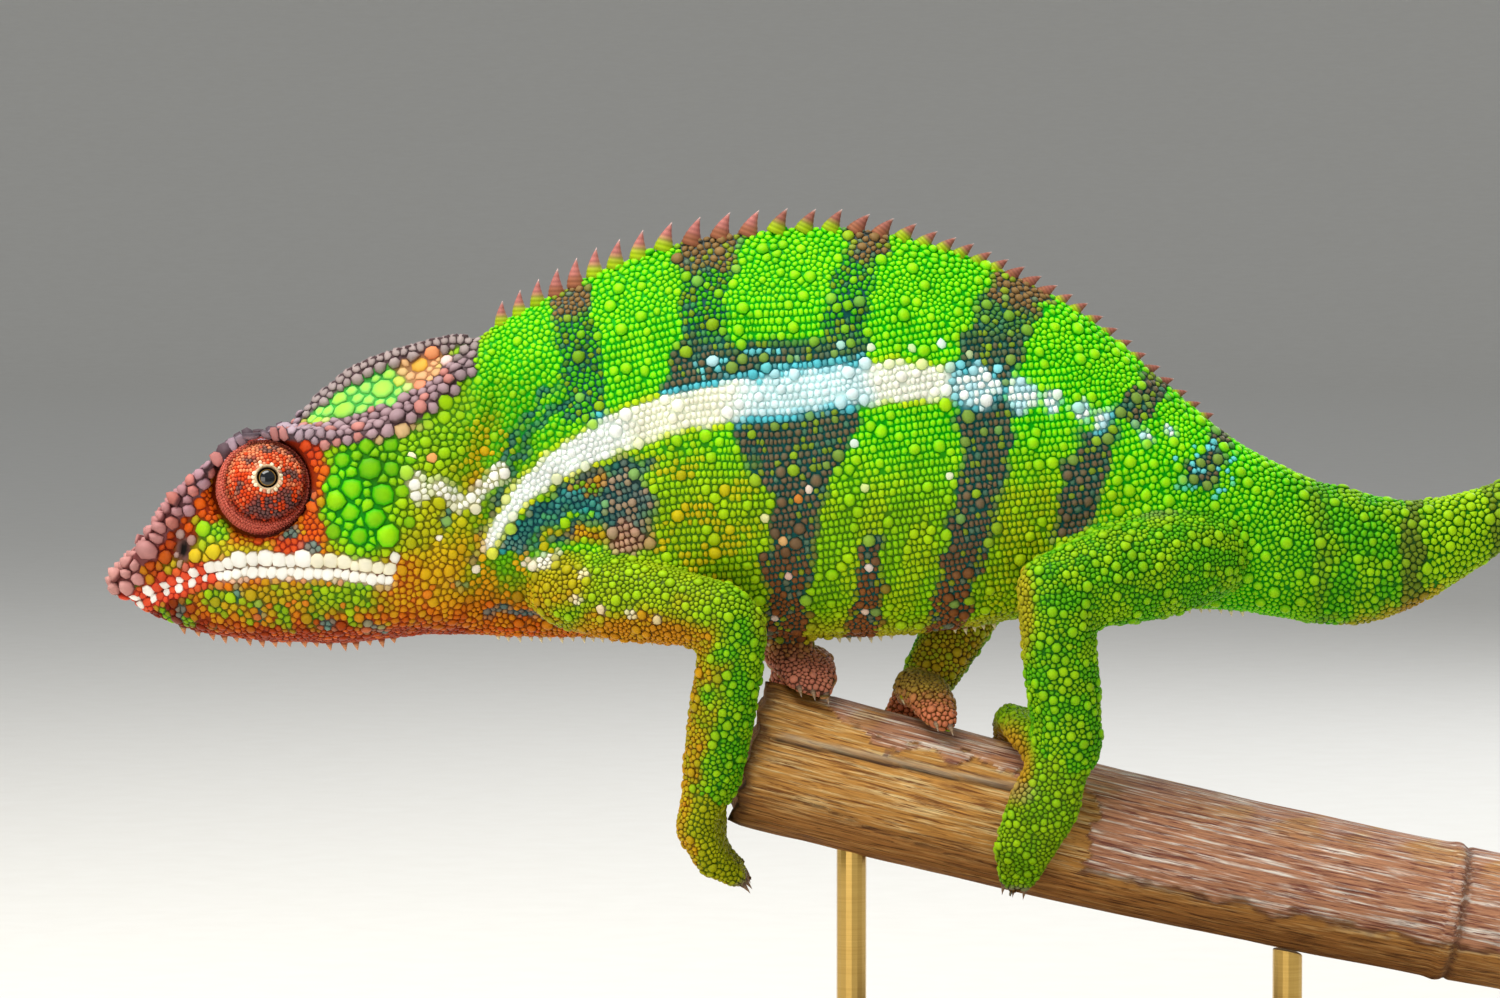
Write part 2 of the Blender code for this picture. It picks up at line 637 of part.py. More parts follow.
LIMBS = {
    "front_left": dict(
        parts=ARM_PARTS,
        upper=((78.0, -9.0, 9.0), (104.2, -19.0, 5.4), (7.0, 7.4, 6.8, 5.8)),
        lower=((106.0, -19.0, 3.4), (102.0, -13.5, -22.5), (5.7, 6.0, 5.9, 5.3)),
        outer=([(100.8, -13.5, -24.0), (99.4, -12.6, -30.4), (102.2, -11.0, -36.2), (106.2, -9.5, -39.2)], 2,
               (4.3, 4.0, 3.0, 1.9), (0.5, 2.8, 0.8)),
        inner=([(101.4, -10.5, -23.5), (101.8, -5.0, -29.0), (102.6, -1.0, -35.4), (106.4, 0.5, -38.8)], 3,
               (3.4, 3.0, 2.4, 1.7), (0.2, 2.9, 0.5)),
    ),
    "front_right": dict(
        parts=ARM_PARTS,
        upper=((80.0, 9.0, 11.0), (101.0, 20.5, 13.5), (6.4, 6.8, 6.2, 5.6)),
        lower=((102.4, 20.5, 12.0), (115.6, 12.6, -3.4), (5.6, 5.3, 4.9, 4.6)),
        outer=([(115.8, 14.4, -5.5), (114.8, 16.8, -12.0), (114.4, 16.2, -19.0), (114.8, 13.4, -26.0)], 2,
               (3.2, 3.0, 2.6, 1.9), (3.6, 0.0, -0.9)),
        inner=([(115.6, 10.0, -3.6), (116.4, 4.6, -3.2), (117.4, -1.5, -4.6), (118.6, -6.4, -7.4)], 3,
               (3.6, 3.3, 2.8, 2.0), (3.5, 0.0, -0.9)),
    ),
    "rear_left": dict(
        parts=LEG_PARTS,
        upper=((184.0, -7.0, 14.6), (158.6, -18.0, 9.6), (8.4, 9.3, 8.6, 6.6)),
        lower=((159.0, -18.6, 7.4), (161.2, -16.6, -16.5), (6.7, 6.6, 6.2)),
        outer=([(160.2, -17.0, -18.0), (157.2, -16.6, -26.5), (153.9, -15.2, -34.0), (152.8, -12.0, -39.2)],
               3, (4.4, 4.0, 3.0, 1.9), (2.7, 0.0, -0.6)),
        inner=([(158.4, -14.6, -19.5), (155.0, -10.0, -15.0), (153.6, 0.0, -13.2), (153.0, 10.2, -16.6),
                (152.6, 15.0, -25.5)], 2,
               (3.4, 3.1, 2.8, 2.6, 2.0), (3.2, 0.0, -0.8)),
    ),
    "rear_right": dict(
        parts=LEG_PARTS,
        upper=((183.0, 7.0, 14.6), (151.0, 20.0, 13.6), (7.6, 8.2, 7.4, 6.4)),
        lower=((150.0, 20.0, 11.8), (138.6, 12.2, -7.6), (6.6, 6.3, 5.8, 5.0)),
        outer=([(137.2, 14.0, -9.8), (136.4, 17.0, -16.4), (136.6, 16.8, -24.0), (137.2, 13.6, -31.0)], 3,
               (3.4, 3.2, 2.8, 2.0), (3.3, 0.0, -0.8)),
        inner=([(137.0, 9.6, -9.0), (137.4, 4.0, -8.8), (138.6, -2.0, -9.8), (140.2, -7.4, -12.8)], 2,
               (3.9, 3.6, 3.0, 2.2), (3.8, 0.0, -1.0)),
    ),
}


# ---------------------------- perch and stand
def perch_point(way):
    """The middle of the cane at this length from its cut end, and the way it runs there."""
    first, last = PERCH_FALL
    turn = (last - first) / PERCH_LENGTH
    fall = first + turn * way
    point = Vector((PERCH_START[0] + (math.sin(fall) - math.sin(first)) / turn, 0,
                    PERCH_START[1] + (math.cos(fall) - math.cos(first)) / turn))
    return point, Vector((math.cos(fall), 0, -math.sin(fall)))


def perch_solid(name, grow=0.0):
    """The cane: stripped wood at the cut end, bark further on, and one joint ring."""
    near, far = PERCH_RADIUS
    bare = [(way, 0.0) for way in (-grow, BARK_FROM / 2, BARK_FROM - 0.6)]
    barked = [(way, BARK_DEPTH) for way in (BARK_FROM, (BARK_FROM + CANE_JOINT_AT) / 2, CANE_JOINT_AT - 3.0)]
    joint = [(CANE_JOINT_AT, BARK_DEPTH + CANE_JOINT_RISE), (CANE_JOINT_AT + 3.0, BARK_DEPTH)]
    rings = []
    for way, rise in [*bare, *barked, *joint, (PERCH_LENGTH + grow, BARK_DEPTH)]:
        radius = near + (far - near) * way / PERCH_LENGTH + rise - BARK_DEPTH + grow
        middle, ahead = perch_point(way)
        up = Vector((-ahead.z, 0, ahead.x))
        rings.append([middle + radius * (math.sin(a) * Vector((0, 1, 0)) + math.cos(a) * up)
                      for a in (2 * math.pi * k / 20 for k in range(20))])
    return solid(name, rings, "cane")


def perch_middle(along):
    """Height of the middle of the cane at this place along the body."""
    low, high = 0.0, PERCH_LENGTH
    for _ in range(30):
        way = (low + high) / 2
        low, high = (way, high) if perch_point(way)[0].x < along else (low, way)
    return perch_point(low)[0].z


def make_rod(name, along):
    """An upright rod from the base up to the underside of the cane, whose top is hollowed to fit it."""
    foot = BASE_SIZE[2] + GAP - BELLY_Z
    head = perch_middle(along) - 0.5 * PERCH_RADIUS[0]
    rings = [[Vector((along + ROD_RADIUS * math.cos(a), ROD_RADIUS * math.sin(a), height))
              for a in (2 * math.pi * k / 16 for k in range(16))] for height in (foot, head)]
    made = solid(name, rings, "stand_brass")
    combine(made, perch_solid("cut", GAP), "DIFFERENCE")
    return made


def make_base():
    """A flat plate with round corners and a small bevel, on the floor, with its middle at the origin."""
    length, width, thick = BASE_SIZE
    outline = []
    for cx, cy, turn in ((1, 1, 0), (-1, 1, 90), (-1, -1, 180), (1, -1, 270)):
        for k in range(7):
            a = math.radians(turn + 15 * k)
            outline.append((cx * (length / 2 - BASE_CORNER) + BASE_CORNER * math.cos(a),
                            cy * (width / 2 - BASE_CORNER) + BASE_CORNER * math.sin(a)))
    slim = 1 - 2 * BASE_BEVEL / width
    levels = [(slim, 0.0), (1.0, BASE_BEVEL), (1.0, thick - BASE_BEVEL), (slim, thick)]
    rings = [[Vector((x * scale - SNOUT_X, y * scale, z - BELLY_Z)) for x, y in outline]
             for scale, z in levels]
    return solid("stand_base", rings, "stand_wood")


def main():
    for old in list(bpy.data.objects):
        bpy.data.objects.remove(old)
    datum = bpy.data.objects.new("body_datum", None)
    datum.location = (SNOUT_X * MM, 0, BELLY_Z * MM)
    datum.scale = (MM, MM, MM)
    bpy.context.scene.collection.objects.link(datum)

    pieces = make_head() + make_trunk() + make_tail()
    for word, sizes in LIMBS.items():
        pieces += limb(word, **sizes)
    pieces += [perch_solid("perch"), make_base()]
    pieces += [make_rod(f"stand_rod_{k}", along) for k, along in enumerate(ROD_PLACES, start=1)]
    for piece in pieces:
        piece.parent = datum
        piece.data.set_sharp_from_angle(angle=SHARP_ANGLE)


main()
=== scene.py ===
# %% [markdown]
# # A panther chameleon on a cane, as a museum model
#
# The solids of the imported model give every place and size. This lesson dresses them: one continuous skin
# takes the place of the separate lengths of flesh, thousands of small scales are laid over it as solid
# meshes, and the eyes, lips, crests, spines, claws, the cane and the stand are made one by one. Every piece
# made here rides on the model's only body, "root".

import math
from itertools import product

import bmesh
import bpy
import numpy as np
from mathutils import Matrix, Vector
from mathutils.bvhtree import BVHTree
from mathutils.kdtree import KDTree


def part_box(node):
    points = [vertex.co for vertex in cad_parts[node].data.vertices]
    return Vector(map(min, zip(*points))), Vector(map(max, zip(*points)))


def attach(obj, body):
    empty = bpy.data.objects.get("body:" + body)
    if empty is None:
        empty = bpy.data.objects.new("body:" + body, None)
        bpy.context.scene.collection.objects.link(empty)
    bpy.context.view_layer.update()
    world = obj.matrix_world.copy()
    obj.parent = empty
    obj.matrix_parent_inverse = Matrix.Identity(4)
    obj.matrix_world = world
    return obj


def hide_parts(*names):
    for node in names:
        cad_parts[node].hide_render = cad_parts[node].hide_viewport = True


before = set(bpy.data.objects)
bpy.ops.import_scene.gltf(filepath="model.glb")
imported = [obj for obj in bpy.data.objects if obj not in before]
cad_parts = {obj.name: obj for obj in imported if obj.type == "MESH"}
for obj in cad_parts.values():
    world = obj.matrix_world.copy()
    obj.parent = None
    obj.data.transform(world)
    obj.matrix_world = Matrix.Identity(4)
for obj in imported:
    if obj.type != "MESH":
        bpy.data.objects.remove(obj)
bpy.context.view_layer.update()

# %% [markdown]
# ## Body coordinates
#
# Metres in the row frame are awkward for an animal whose scales are a millimetre across. All modelling is
# done in millimetres of the body: along runs from the tip of the snout to the tail, side is negative on the
# animal's left, and height is measured from the line of the belly. The neck's solid ties the two together:
# it starts 63.3 mm behind the tip of the snout, and its lowest point is on the line of the belly.

# %% Millimetres of the body
MM = 0.001
NECK_STARTS = 63.3
neck_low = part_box("neck")[0]
DATUM = np.array([neck_low.x - NECK_STARTS * MM, 0.0, neck_low.z])


def to_body(points):
    return (np.asarray(points, float) - DATUM) / MM


def to_row(points):
    return np.asarray(points, float) * MM + DATUM


print("the tip of the snout is at", DATUM.round(4), "in the row frame")

# %% [markdown]
# ## Helpers for colours and nodes
#
# A colour is written as a paint chart has it, as an sRGB hex value, and one function turns it to the linear
# light that the renderer works in. Another adds a shader node with its settings and links, so that each
# material reads as a short list of what it is made of. Colours of points are built up in layers, as a
# painter would: a ground, and then marks over it, each given by how much it covers every point.

# %% Colours and shader nodes
def linear(colour):
    """An sRGB hex value as three linear numbers; numbers that are linear already stay as they are."""
    if not isinstance(colour, str):
        return colour
    value = np.array([int(colour[k:k + 2], 16) for k in (1, 3, 5)]) / 255
    return np.where(value <= 0.04045, value / 12.92, ((value + 0.055) / 1.055) ** 2.4)


COLOURS = {"data_type": "RGBA"}


def rgba(colour):
    return (*linear(colour), 1.0)


def add_node(tree, kind, settings=None, out=0, **inputs):
    """Adds a node and gives one output; an input is a value or an output, and _ stands for a space."""
    made = tree.nodes.new("ShaderNode" + kind)
    for name, value in (settings or {}).items():
        setattr(made, name, value)
    for name, value in inputs.items():
        name = name.replace("_", " ")
        socket = made.inputs[int(name[3:])] if name.startswith("in ") else made.inputs[name]
        if isinstance(value, bpy.types.NodeSocket):
            tree.links.new(value, socket)
        else:
            socket.default_value = value
    return made.outputs[out]


def carried(tree, name, out):
    """What the points of a mesh carry under this name, as a colour, a value or a vector."""
    return add_node(tree, "Attribute", {"attribute_name": name}, out)


def new_material(name, **finish):
    """A material with a Principled shader, whose constant values are set on its own sockets."""
    material = bpy.data.materials.new(name)
    material.use_nodes = True
    shader = material.node_tree.nodes["Principled BSDF"]
    for socket, value in finish.items():
        shader.inputs[socket.replace("_", " ")].default_value = value
    return material, material.node_tree, shader


def finish_with(tree, shader, colour, height, depth, strength):
    """Joins a colour, and a bump of this depth in millimetres, to the shader."""
    bump = add_node(tree, "Bump", Height=height, Distance=depth * MM, Strength=strength)
    tree.links.new(colour, shader.inputs["Base Color"])
    tree.links.new(bump, shader.inputs["Normal"])


def set_stops(ramp, stops):
    """Gives a colour ramp these (position, hex colour) stops."""
    elements = ramp.node.color_ramp.elements
    while len(elements) < len(stops):
        elements.new(0.5)
    for element, (position, colour) in zip(elements, stops):
        element.position, element.color = position, rgba(colour)


def ease(value, start, end):
    """0 before start, 1 after end and smooth between them; with start above end it falls instead."""
    t = np.clip((np.asarray(value, float) - start) / (end - start), 0, 1)
    return t * t * (3 - 2 * t)


def bell(value, wide):
    """1 where the value is 0, falling to nothing over this width on both sides."""
    return np.exp(-(np.asarray(value, float) / wide) ** 2)


def mix(below, above, amount):
    """Lays one colour over another, both hex or linear; amount may differ from point to point."""
    below, above = linear(below), linear(above)
    return below + (above - below) * np.asarray(amount, float).reshape(-1, 1)


class Layers:
    """The tone and the seam of many points, over which marks are laid one after another."""

    def __init__(self, tone, seam, count):
        self.tone, self.seam = (np.zeros((count, 3)) + linear(colour) for colour in (tone, seam))

    def lay(self, mark, tone=None, seam=None, most=1.0, seam_most=1.0):
        """Lays a tone, a seam or both where the mark is above 0, no stronger than their most."""
        if tone is not None:
            self.tone = mix(self.tone, tone, most * mark)
        if seam is not None:
            self.seam = mix(self.seam, seam, seam_most * mark)


def drift(points, wavelength, seed):
    """A smooth random value between about -1 and 1 that wanders over this many millimetres."""
    draw = np.random.default_rng(seed)
    ways = draw.normal(size=(9, 3))
    ways *= (2 * np.pi / wavelength) * draw.uniform(0.7, 1.4, (9, 1)) / np.linalg.norm(ways, axis=1)[:, None]
    return np.sin(points @ ways.T + draw.uniform(0, 2 * np.pi, 9)).sum(1) / 3.2


print("the green of the flank in linear light:", linear("#44D806").round(3))

# %% [markdown]
# ## Meshes from arrays
#
# The coat has more than a million triangles. Blender takes such meshes fast as whole arrays, so one
# function makes a mesh object from arrays of points and corners, with named colours and values on its
# points. A second says where the piece belongs: its body and the solids it stands for.

# %% Mesh objects
def add_mesh(name, points, faces, material, colours=None, values=None, patches=None):
    """Points are in body millimetres; faces are all faces' corners in one list and where each face begins."""
    corners, starts = faces
    mesh = bpy.data.meshes.new(name)
    mesh.vertices.add(len(points))
    mesh.vertices.foreach_set("co", to_row(points).astype(np.float32).ravel())
    mesh.loops.add(len(corners))
    mesh.loops.foreach_set("vertex_index", np.asarray(corners, np.int32))
    mesh.polygons.add(len(starts))
    mesh.polygons.foreach_set("loop_start", np.asarray(starts, np.int32))
    mesh.update(calc_edges=True)
    mesh.validate()
    for title, colour in (colours or {}).items():
        layer = mesh.color_attributes.new(title, "FLOAT_COLOR", "POINT")
        layer.data.foreach_set("color", np.c_[colour, np.ones(len(points))].astype(np.float32).ravel())
    for title, value in (values or {}).items():
        layer = mesh.attributes.new(title, "FLOAT", "POINT")
        layer.data.foreach_set("value", np.asarray(value, np.float32))
    if patches is not None:
        layer = mesh.uv_layers.new(name="OFBake")
        layer.uv.foreach_set("vector", np.asarray(patches, np.float32).ravel())
    mesh.polygons.foreach_set("use_smooth", np.ones(len(starts), bool))
    mesh.materials.append(material)
    piece = bpy.data.objects.new(name, mesh)
    bpy.context.scene.collection.objects.link(piece)
    return piece


def belongs(piece, slot, *replaced):
    """The piece rides on the model and stands for the replaced solids; slot is not used."""
    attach(piece, "root")
    if replaced:
        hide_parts(*replaced)
    piece.data.calc_loop_triangles()
    print(f"{piece.name}: {len(piece.data.loop_triangles)} triangles")
    return piece


def face_corners(quads, *caps):
    """The corners and starts of quads, and of any larger faces that close them."""
    lengths = [4] * len(quads) + [len(cap) for cap in caps]
    return np.concatenate([np.asarray(quads).ravel(), *caps]), np.r_[0, np.cumsum(lengths)[:-1]]


def grid_quads(rows, columns, closed=True):
    """The quads of a net of rows and columns; a closed net joins its last column to its first."""
    here = np.arange(rows * columns).reshape(rows, columns)
    corners = np.stack([here[:-1], np.roll(here, -1, 1)[:-1], np.roll(here, -1, 1)[1:], here[1:]], -1)
    return corners[:, :columns if closed else columns - 1].reshape(-1, 4)

# %% [markdown]
# ## The skin
#
# A living body has no seams, but the solids are separate lengths with hairline gaps. They are swollen until
# they touch, and Blender's voxel remesh draws one even net round all of them. Smoothing takes away the
# solids' facets; what it takes from the broad shape is given back, or the toes would thin. Last, the net is
# drawn in by the depth of the coat, because the scales stand on it and reach the true outline.

# %% Solids of flesh
FLESH = sorted(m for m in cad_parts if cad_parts[m].data.materials[0].name.startswith("skin"))
CRESTS = ("crest_crown", "crest_left", "crest_right")
COVERED = [*FLESH, *CRESTS]  # the skin runs on over the bony crests of the head
GROUPS = {
    "head": ("head", "lower_jaw"),
    "neck": ("neck",),
    "trunk": ("chest", "belly", "pelvis"),
    "tail": ("tail_root", "tail_arch", "tail_roll"),
    "arm": ("upper_arm", "forearm"),
    "hand": ("hand_outer", "hand_inner"),
    "leg": ("thigh", "shin"),
    "foot": ("foot_outer", "foot_inner"),
    "crest": ("crest_",),
}
GROUP_NAMES = list(GROUPS)
VOXEL = 0.8  # mm between the points of the skin
SWELL = 0.25
COAT_DEPTH = 0.42
print(len(FLESH), "solids of flesh")


def group_of(node):
    return next(k for k, words in enumerate(GROUPS.values()) if node.startswith(words))


def welded(names):
    """The named nodes as one bmesh in body millimetres, with the corners of each solid joined again."""
    net = bmesh.new()
    for name in names:
        net.from_mesh(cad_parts[name].data)
    net.transform(Matrix.Scale(1 / MM, 4) @ Matrix.Translation(-Vector(DATUM)))
    bmesh.ops.remove_doubles(net, verts=net.verts, dist=0.002)
    bmesh.ops.recalc_face_normals(net, faces=net.faces)
    return net


def drawn_again(names, swell, voxel):
    """One even net of quads round the named solids: its points and its quads."""
    net = welded(names)
    net.normal_update()
    for point, away in [(v, v.normal.copy()) for v in net.verts]:
        point.co += away * swell
    mesh = bpy.data.meshes.new("rough")
    net.to_mesh(mesh)
    net.free()
    rough = bpy.data.objects.new("rough", mesh)
    bpy.context.scene.collection.objects.link(rough)
    modifier = rough.modifiers.new("even net", "REMESH")
    modifier.mode, modifier.voxel_size = "VOXEL", voxel
    made = bpy.data.meshes.new_from_object(rough.evaluated_get(bpy.context.evaluated_depsgraph_get()))
    points = np.zeros(3 * len(made.vertices))
    made.vertices.foreach_get("co", points)
    quads = np.array([face.vertices[:] for face in made.polygons if len(face.vertices) == 4])
    bpy.data.objects.remove(rough)
    bpy.data.meshes.remove(mesh)
    bpy.data.meshes.remove(made)
    return points.reshape(-1, 3), quads


def summed(index, values, count):
    """Adds up the rows of values that have the same index."""
    return np.stack([np.bincount(index, column, count) for column in values.T], 1)


def unit(vectors):
    return vectors / np.linalg.norm(vectors, axis=-1, keepdims=True)


def averaged(values, edges, turns):
    """Moves each point's value half way to the mean of its neighbours' values, a few times over."""
    one, two = edges.T
    count = np.bincount(edges.ravel(), minlength=len(values))[:, None]
    for _ in range(turns):
        total = summed(one, values[two], len(values)) + summed(two, values[one], len(values))
        values = values + 0.5 * (total / count - values)
    return values


def edges_of(quads):
    sides = np.sort(np.concatenate([quads[:, [k, (k + 1) % 4]] for k in range(4)]), 1)
    return np.unique(sides, axis=0)


def triangles_of(quads):
    return np.concatenate([quads[:, [0, 1, 2]], quads[:, [0, 2, 3]]])


def normals_of(points, triangles):
    a, b, c = (points[triangles[:, k]] for k in range(3))
    facing = np.cross(b - a, c - a)
    total = sum(summed(triangles[:, k], facing, len(points)) for k in range(3))
    return total / np.maximum(np.linalg.norm(total, axis=1), 1e-9)[:, None]


def largest_island(points, quads):
    """Drops the few loose points that the remesh can leave beside the body."""
    island = np.arange(len(points))
    while True:
        lowest, joined = island[quads].min(1), island.copy()
        for k in range(4):
            np.minimum.at(joined, quads[:, k], lowest)
        joined = joined[joined]
        if (joined == island).all():
            break
        island = joined
    kept = island == np.bincount(island).argmax()
    return points[kept], (np.cumsum(kept) - 1)[quads[kept[quads[:, 0]]]]


def soft_net(names, swell, voxel, turns):
    """A smooth net round the solids, whose broad shape is not shrunk by the smoothing."""
    points, quads = largest_island(*drawn_again(names, swell, voxel))
    edges = edges_of(quads)
    calm = averaged(points, edges, turns)
    calm = calm + averaged(points - calm, edges, turns)
    return calm, quads, edges


skin_points, skin_quads, skin_edges = soft_net(COVERED, SWELL, VOXEL, 16)
skin_triangles = triangles_of(skin_quads)
print("the skin has", len(skin_points), "points and", len(skin_quads), "quads")

# %% [markdown]
# Each point of the skin has to know which part of the animal it is on, because scales and colours differ
# from head to tail. The nearest solid says so. Only the crests reach further: their big scales also cover
# the skull on both sides, so a band on the side of the head is given to each crest.

# %% Which part of the animal a point is on
CREST_BAND = [  # along, height and half the width of the band
    (0.3, 9.4, 1.5), (3.0, 10.8, 2.2), (5.6, 14.2, 2.2), (8.0, 17.4, 2.2), (10.4, 20.6, 2.2),
    (13.4, 24.4, 2.1), (16.4, 27.8, 2.0), (20.0, 31.0, 1.7), (27.0, 34.6, 1.5), (33.0, 35.8, 1.7),
    (36.0, 35.2, 2.0), (41.0, 36.0, 2.4), (50.0, 38.6, 2.3), (55.0, 41.6, 2.4), (58.0, 44.2, 2.4),
    (60.5, 47.2, 2.1), (63.0, 50.2, 1.7),
]
CROWN_FROM, CROWN_HALF = 32.0, 1.1  # where the middle crest starts, and half its width


def stroke(along, height, path):
    """How far each point lies from a line; a line's points may give half its width as a third number."""
    nearest = np.full(len(along), np.inf)
    for (a0, h0, *w0), (a1, h1, *w1) in zip(path, path[1:]):
        length = (a1 - a0) ** 2 + (h1 - h0) ** 2
        share = np.clip(((along - a0) * (a1 - a0) + (height - h0) * (h1 - h0)) / length, 0, 1)
        wide = w0[0] + (w1[0] - w0[0]) * share if w0 else 0.0
        away = np.hypot(along - a0 - share * (a1 - a0), height - h0 - share * (h1 - h0)) - wide
        nearest = np.minimum(nearest, away)
    return nearest


def nearest_part(points):
    """The index of the nearest covered solid for each point."""
    corners, faces, owners = [], [], []
    for k, name in enumerate(COVERED):
        net = welded([name])
        net.verts.ensure_lookup_table()
        faces += [[len(corners) + v.index for v in f.verts] for f in net.faces]
        owners += [k] * len(net.faces)
        corners += [v.co.copy() for v in net.verts]
        net.free()
    tree = BVHTree.FromPolygons(corners, faces)
    return np.array([owners[tree.find_nearest(p)[2]] for p in points.tolist()])


def is_in(group, *names):
    return np.isin(group, [GROUP_NAMES.index(name) for name in names])


part_group = np.array([group_of(name) for name in COVERED])
skin_part = nearest_part(skin_points)
along, side, height = skin_points.T
on_band = stroke(along, height, CREST_BAND) < 0.4 * drift(skin_points, 3.0, 9)
on_crown = (np.abs(side) < CROWN_HALF) & (along > CROWN_FROM) & (height > 30)
on_head = is_in(part_group[skin_part], "head", "crest")
for name, chosen in (("crest_left", on_band & (side < 0)), ("crest_crown", on_crown),
                     ("crest_right", on_band & (side >= 0))):
    skin_part[on_head & chosen] = COVERED.index(name)
skin_group = part_group[skin_part]
print({name: int((skin_group == k).sum()) for k, name in enumerate(GROUP_NAMES)})

# %% [markdown]
# ## Folds
#
# The mouth is closed to a fine line, and loose skin falls in folds behind the jaw and in front of the
# shoulder. They could be sculpted, but a fold is only a line on the animal's side, from which nearby skin
# is pressed in. The same distance function later paints the stripe of the flank.

# %% Lines on the side of the body
MOUTH = [(2.0, 5.4), (5.8, 6.6), (11.3, 9.2), (16.3, 11.2), (21.5, 12.4), (25.5, 13.0), (39.5, 12.8),
         (48.4, 11.6)]
FORE = ("neck", "trunk", "arm")
FOLDS = [  # line, how deep, how wide, parts of the animal
    (MOUTH, 0.75, 0.62, ("head",)),
    ([(66.2, 51.0), (66.4, 44.8), (65.2, 36.2), (62.9, 29.0)], 0.9, 1.5, ("head", "neck")),
    ([(78.0, 41.0), (72.5, 36.0), (68.8, 28.5), (66.0, 22.0), (62.0, 14.5)], 1.0, 1.1, FORE),
    ([(75.5, 42.5), (69.6, 36.0), (66.4, 29.0)], 0.5, 0.8, ("neck", "trunk")),
    ([(60.5, 25.0), (57.6, 20.2), (54.6, 13.5)], 0.6, 1.2, ("head", "neck")),
    ([(92.0, 30.0), (84.0, 29.5), (77.0, 26.0), (72.0, 20.0), (69.5, 16.5)], 0.7, 1.0, FORE),
    ([(90.0, 25.5), (82.0, 25.0), (76.0, 21.5), (72.5, 17.0)], 0.6, 0.9, FORE),
    ([(88.0, 21.5), (81.0, 20.5), (76.0, 17.0)], 0.5, 0.8, FORE),
    ([(64.0, 4.5), (72.0, 3.8), (84.0, 3.2)], 0.6, 1.0, ("head", "neck", "trunk")),
]


def fold_depth(points, group):
    depth = np.zeros(len(points))
    for path, deep, wide, parts in FOLDS:
        away = stroke(points[:, 0], points[:, 2], path)
        depth += deep * bell(away, wide) * is_in(group, *parts)
    return depth


RIDGE = [(63, 51.9), (73, 57.3), (83, 62.3), (93, 66.2), (103, 68.3), (113, 69.4), (124, 69.7), (134, 68.2),
         (144, 65.2), (154, 61.0), (164, 55.4), (172, 48.9), (181, 41.0), (189, 34.4), (199, 28.9),
         (203, 27.3)]
UNDERSIDE = [(9, 3.3), (11, 2.6), (16, 0.9), (27, -0.5), (40, -0.9), (55, 0.5), (63, 0.3), (83, 0.0),
             (103, -0.4), (124, 0.0), (134, 0.4), (144, 1.6), (154, 3.2), (164, 4.6), (172, 5.1), (181, 5.1),
             (189, 4.7), (199, 3.2), (203, 2.4)]
MIDLINE = 2.6  # the stubs of spines and cones lie this near to the middle


def without_stubs(points, group):
    """Takes the stubs of the solids' spines and throat cones down to the lines that they stand on."""
    lowest = np.interp(points[:, 0], *zip(*UNDERSIDE))
    highest = np.interp(points[:, 0], *zip(*RIDGE))
    height = points[:, 2]
    middle = np.abs(points[:, 1]) < MIDLINE
    below = middle & is_in(group, "head", "neck", "trunk") & (points[:, 0] > 9) & (height < lowest)
    above = middle & is_in(group, "neck", "trunk", "tail") & (points[:, 0] < 203) & (height > highest)
    height = np.where(below, lowest, np.where(above, highest, height))
    return np.c_[points[:, :2], height]


NOSTRIL, NOSTRIL_DEEP, NOSTRIL_WIDE = (13.75, 15.7), 1.3, 0.85


def nostril_away(points, stretch=1.6):
    """How far points lie from a nostril, which is an upright slot that many times as tall as wide."""
    return np.hypot(points[:, 0] - NOSTRIL[0], (points[:, 2] - NOSTRIL[1]) / stretch)


skin_points = averaged(without_stubs(skin_points, skin_group), skin_edges, 1)
skin_inset = SWELL + COAT_DEPTH + fold_depth(skin_points, skin_group)
skin_inset -= 0.15 * is_in(skin_group, "crest")
skin_inset += NOSTRIL_DEEP * bell(nostril_away(skin_points), NOSTRIL_WIDE) * is_in(skin_group, "head")
skin_points = skin_points - normals_of(skin_points, skin_triangles) * skin_inset[:, None]
skin_points = averaged(skin_points, skin_edges, 1)
skin_normals = normals_of(skin_points, skin_triangles)
print("the deepest fold lies", skin_inset.max().round(2), "mm under the outline of the solids")

# %% [markdown]
# ## The colours of the animal
#
# A panther chameleon's colours are marks of the animal itself: dark bars across a green flank, a pale
# stripe along it, a red eye and an orange throat. Each mark is a named shape in body coordinates, and one
# function gives the colour of any point. The skin and the scales both ask it, so that they always agree.
# The marks could be painted by hand on an unwrap, but a few numbers can be read, moved and reused.

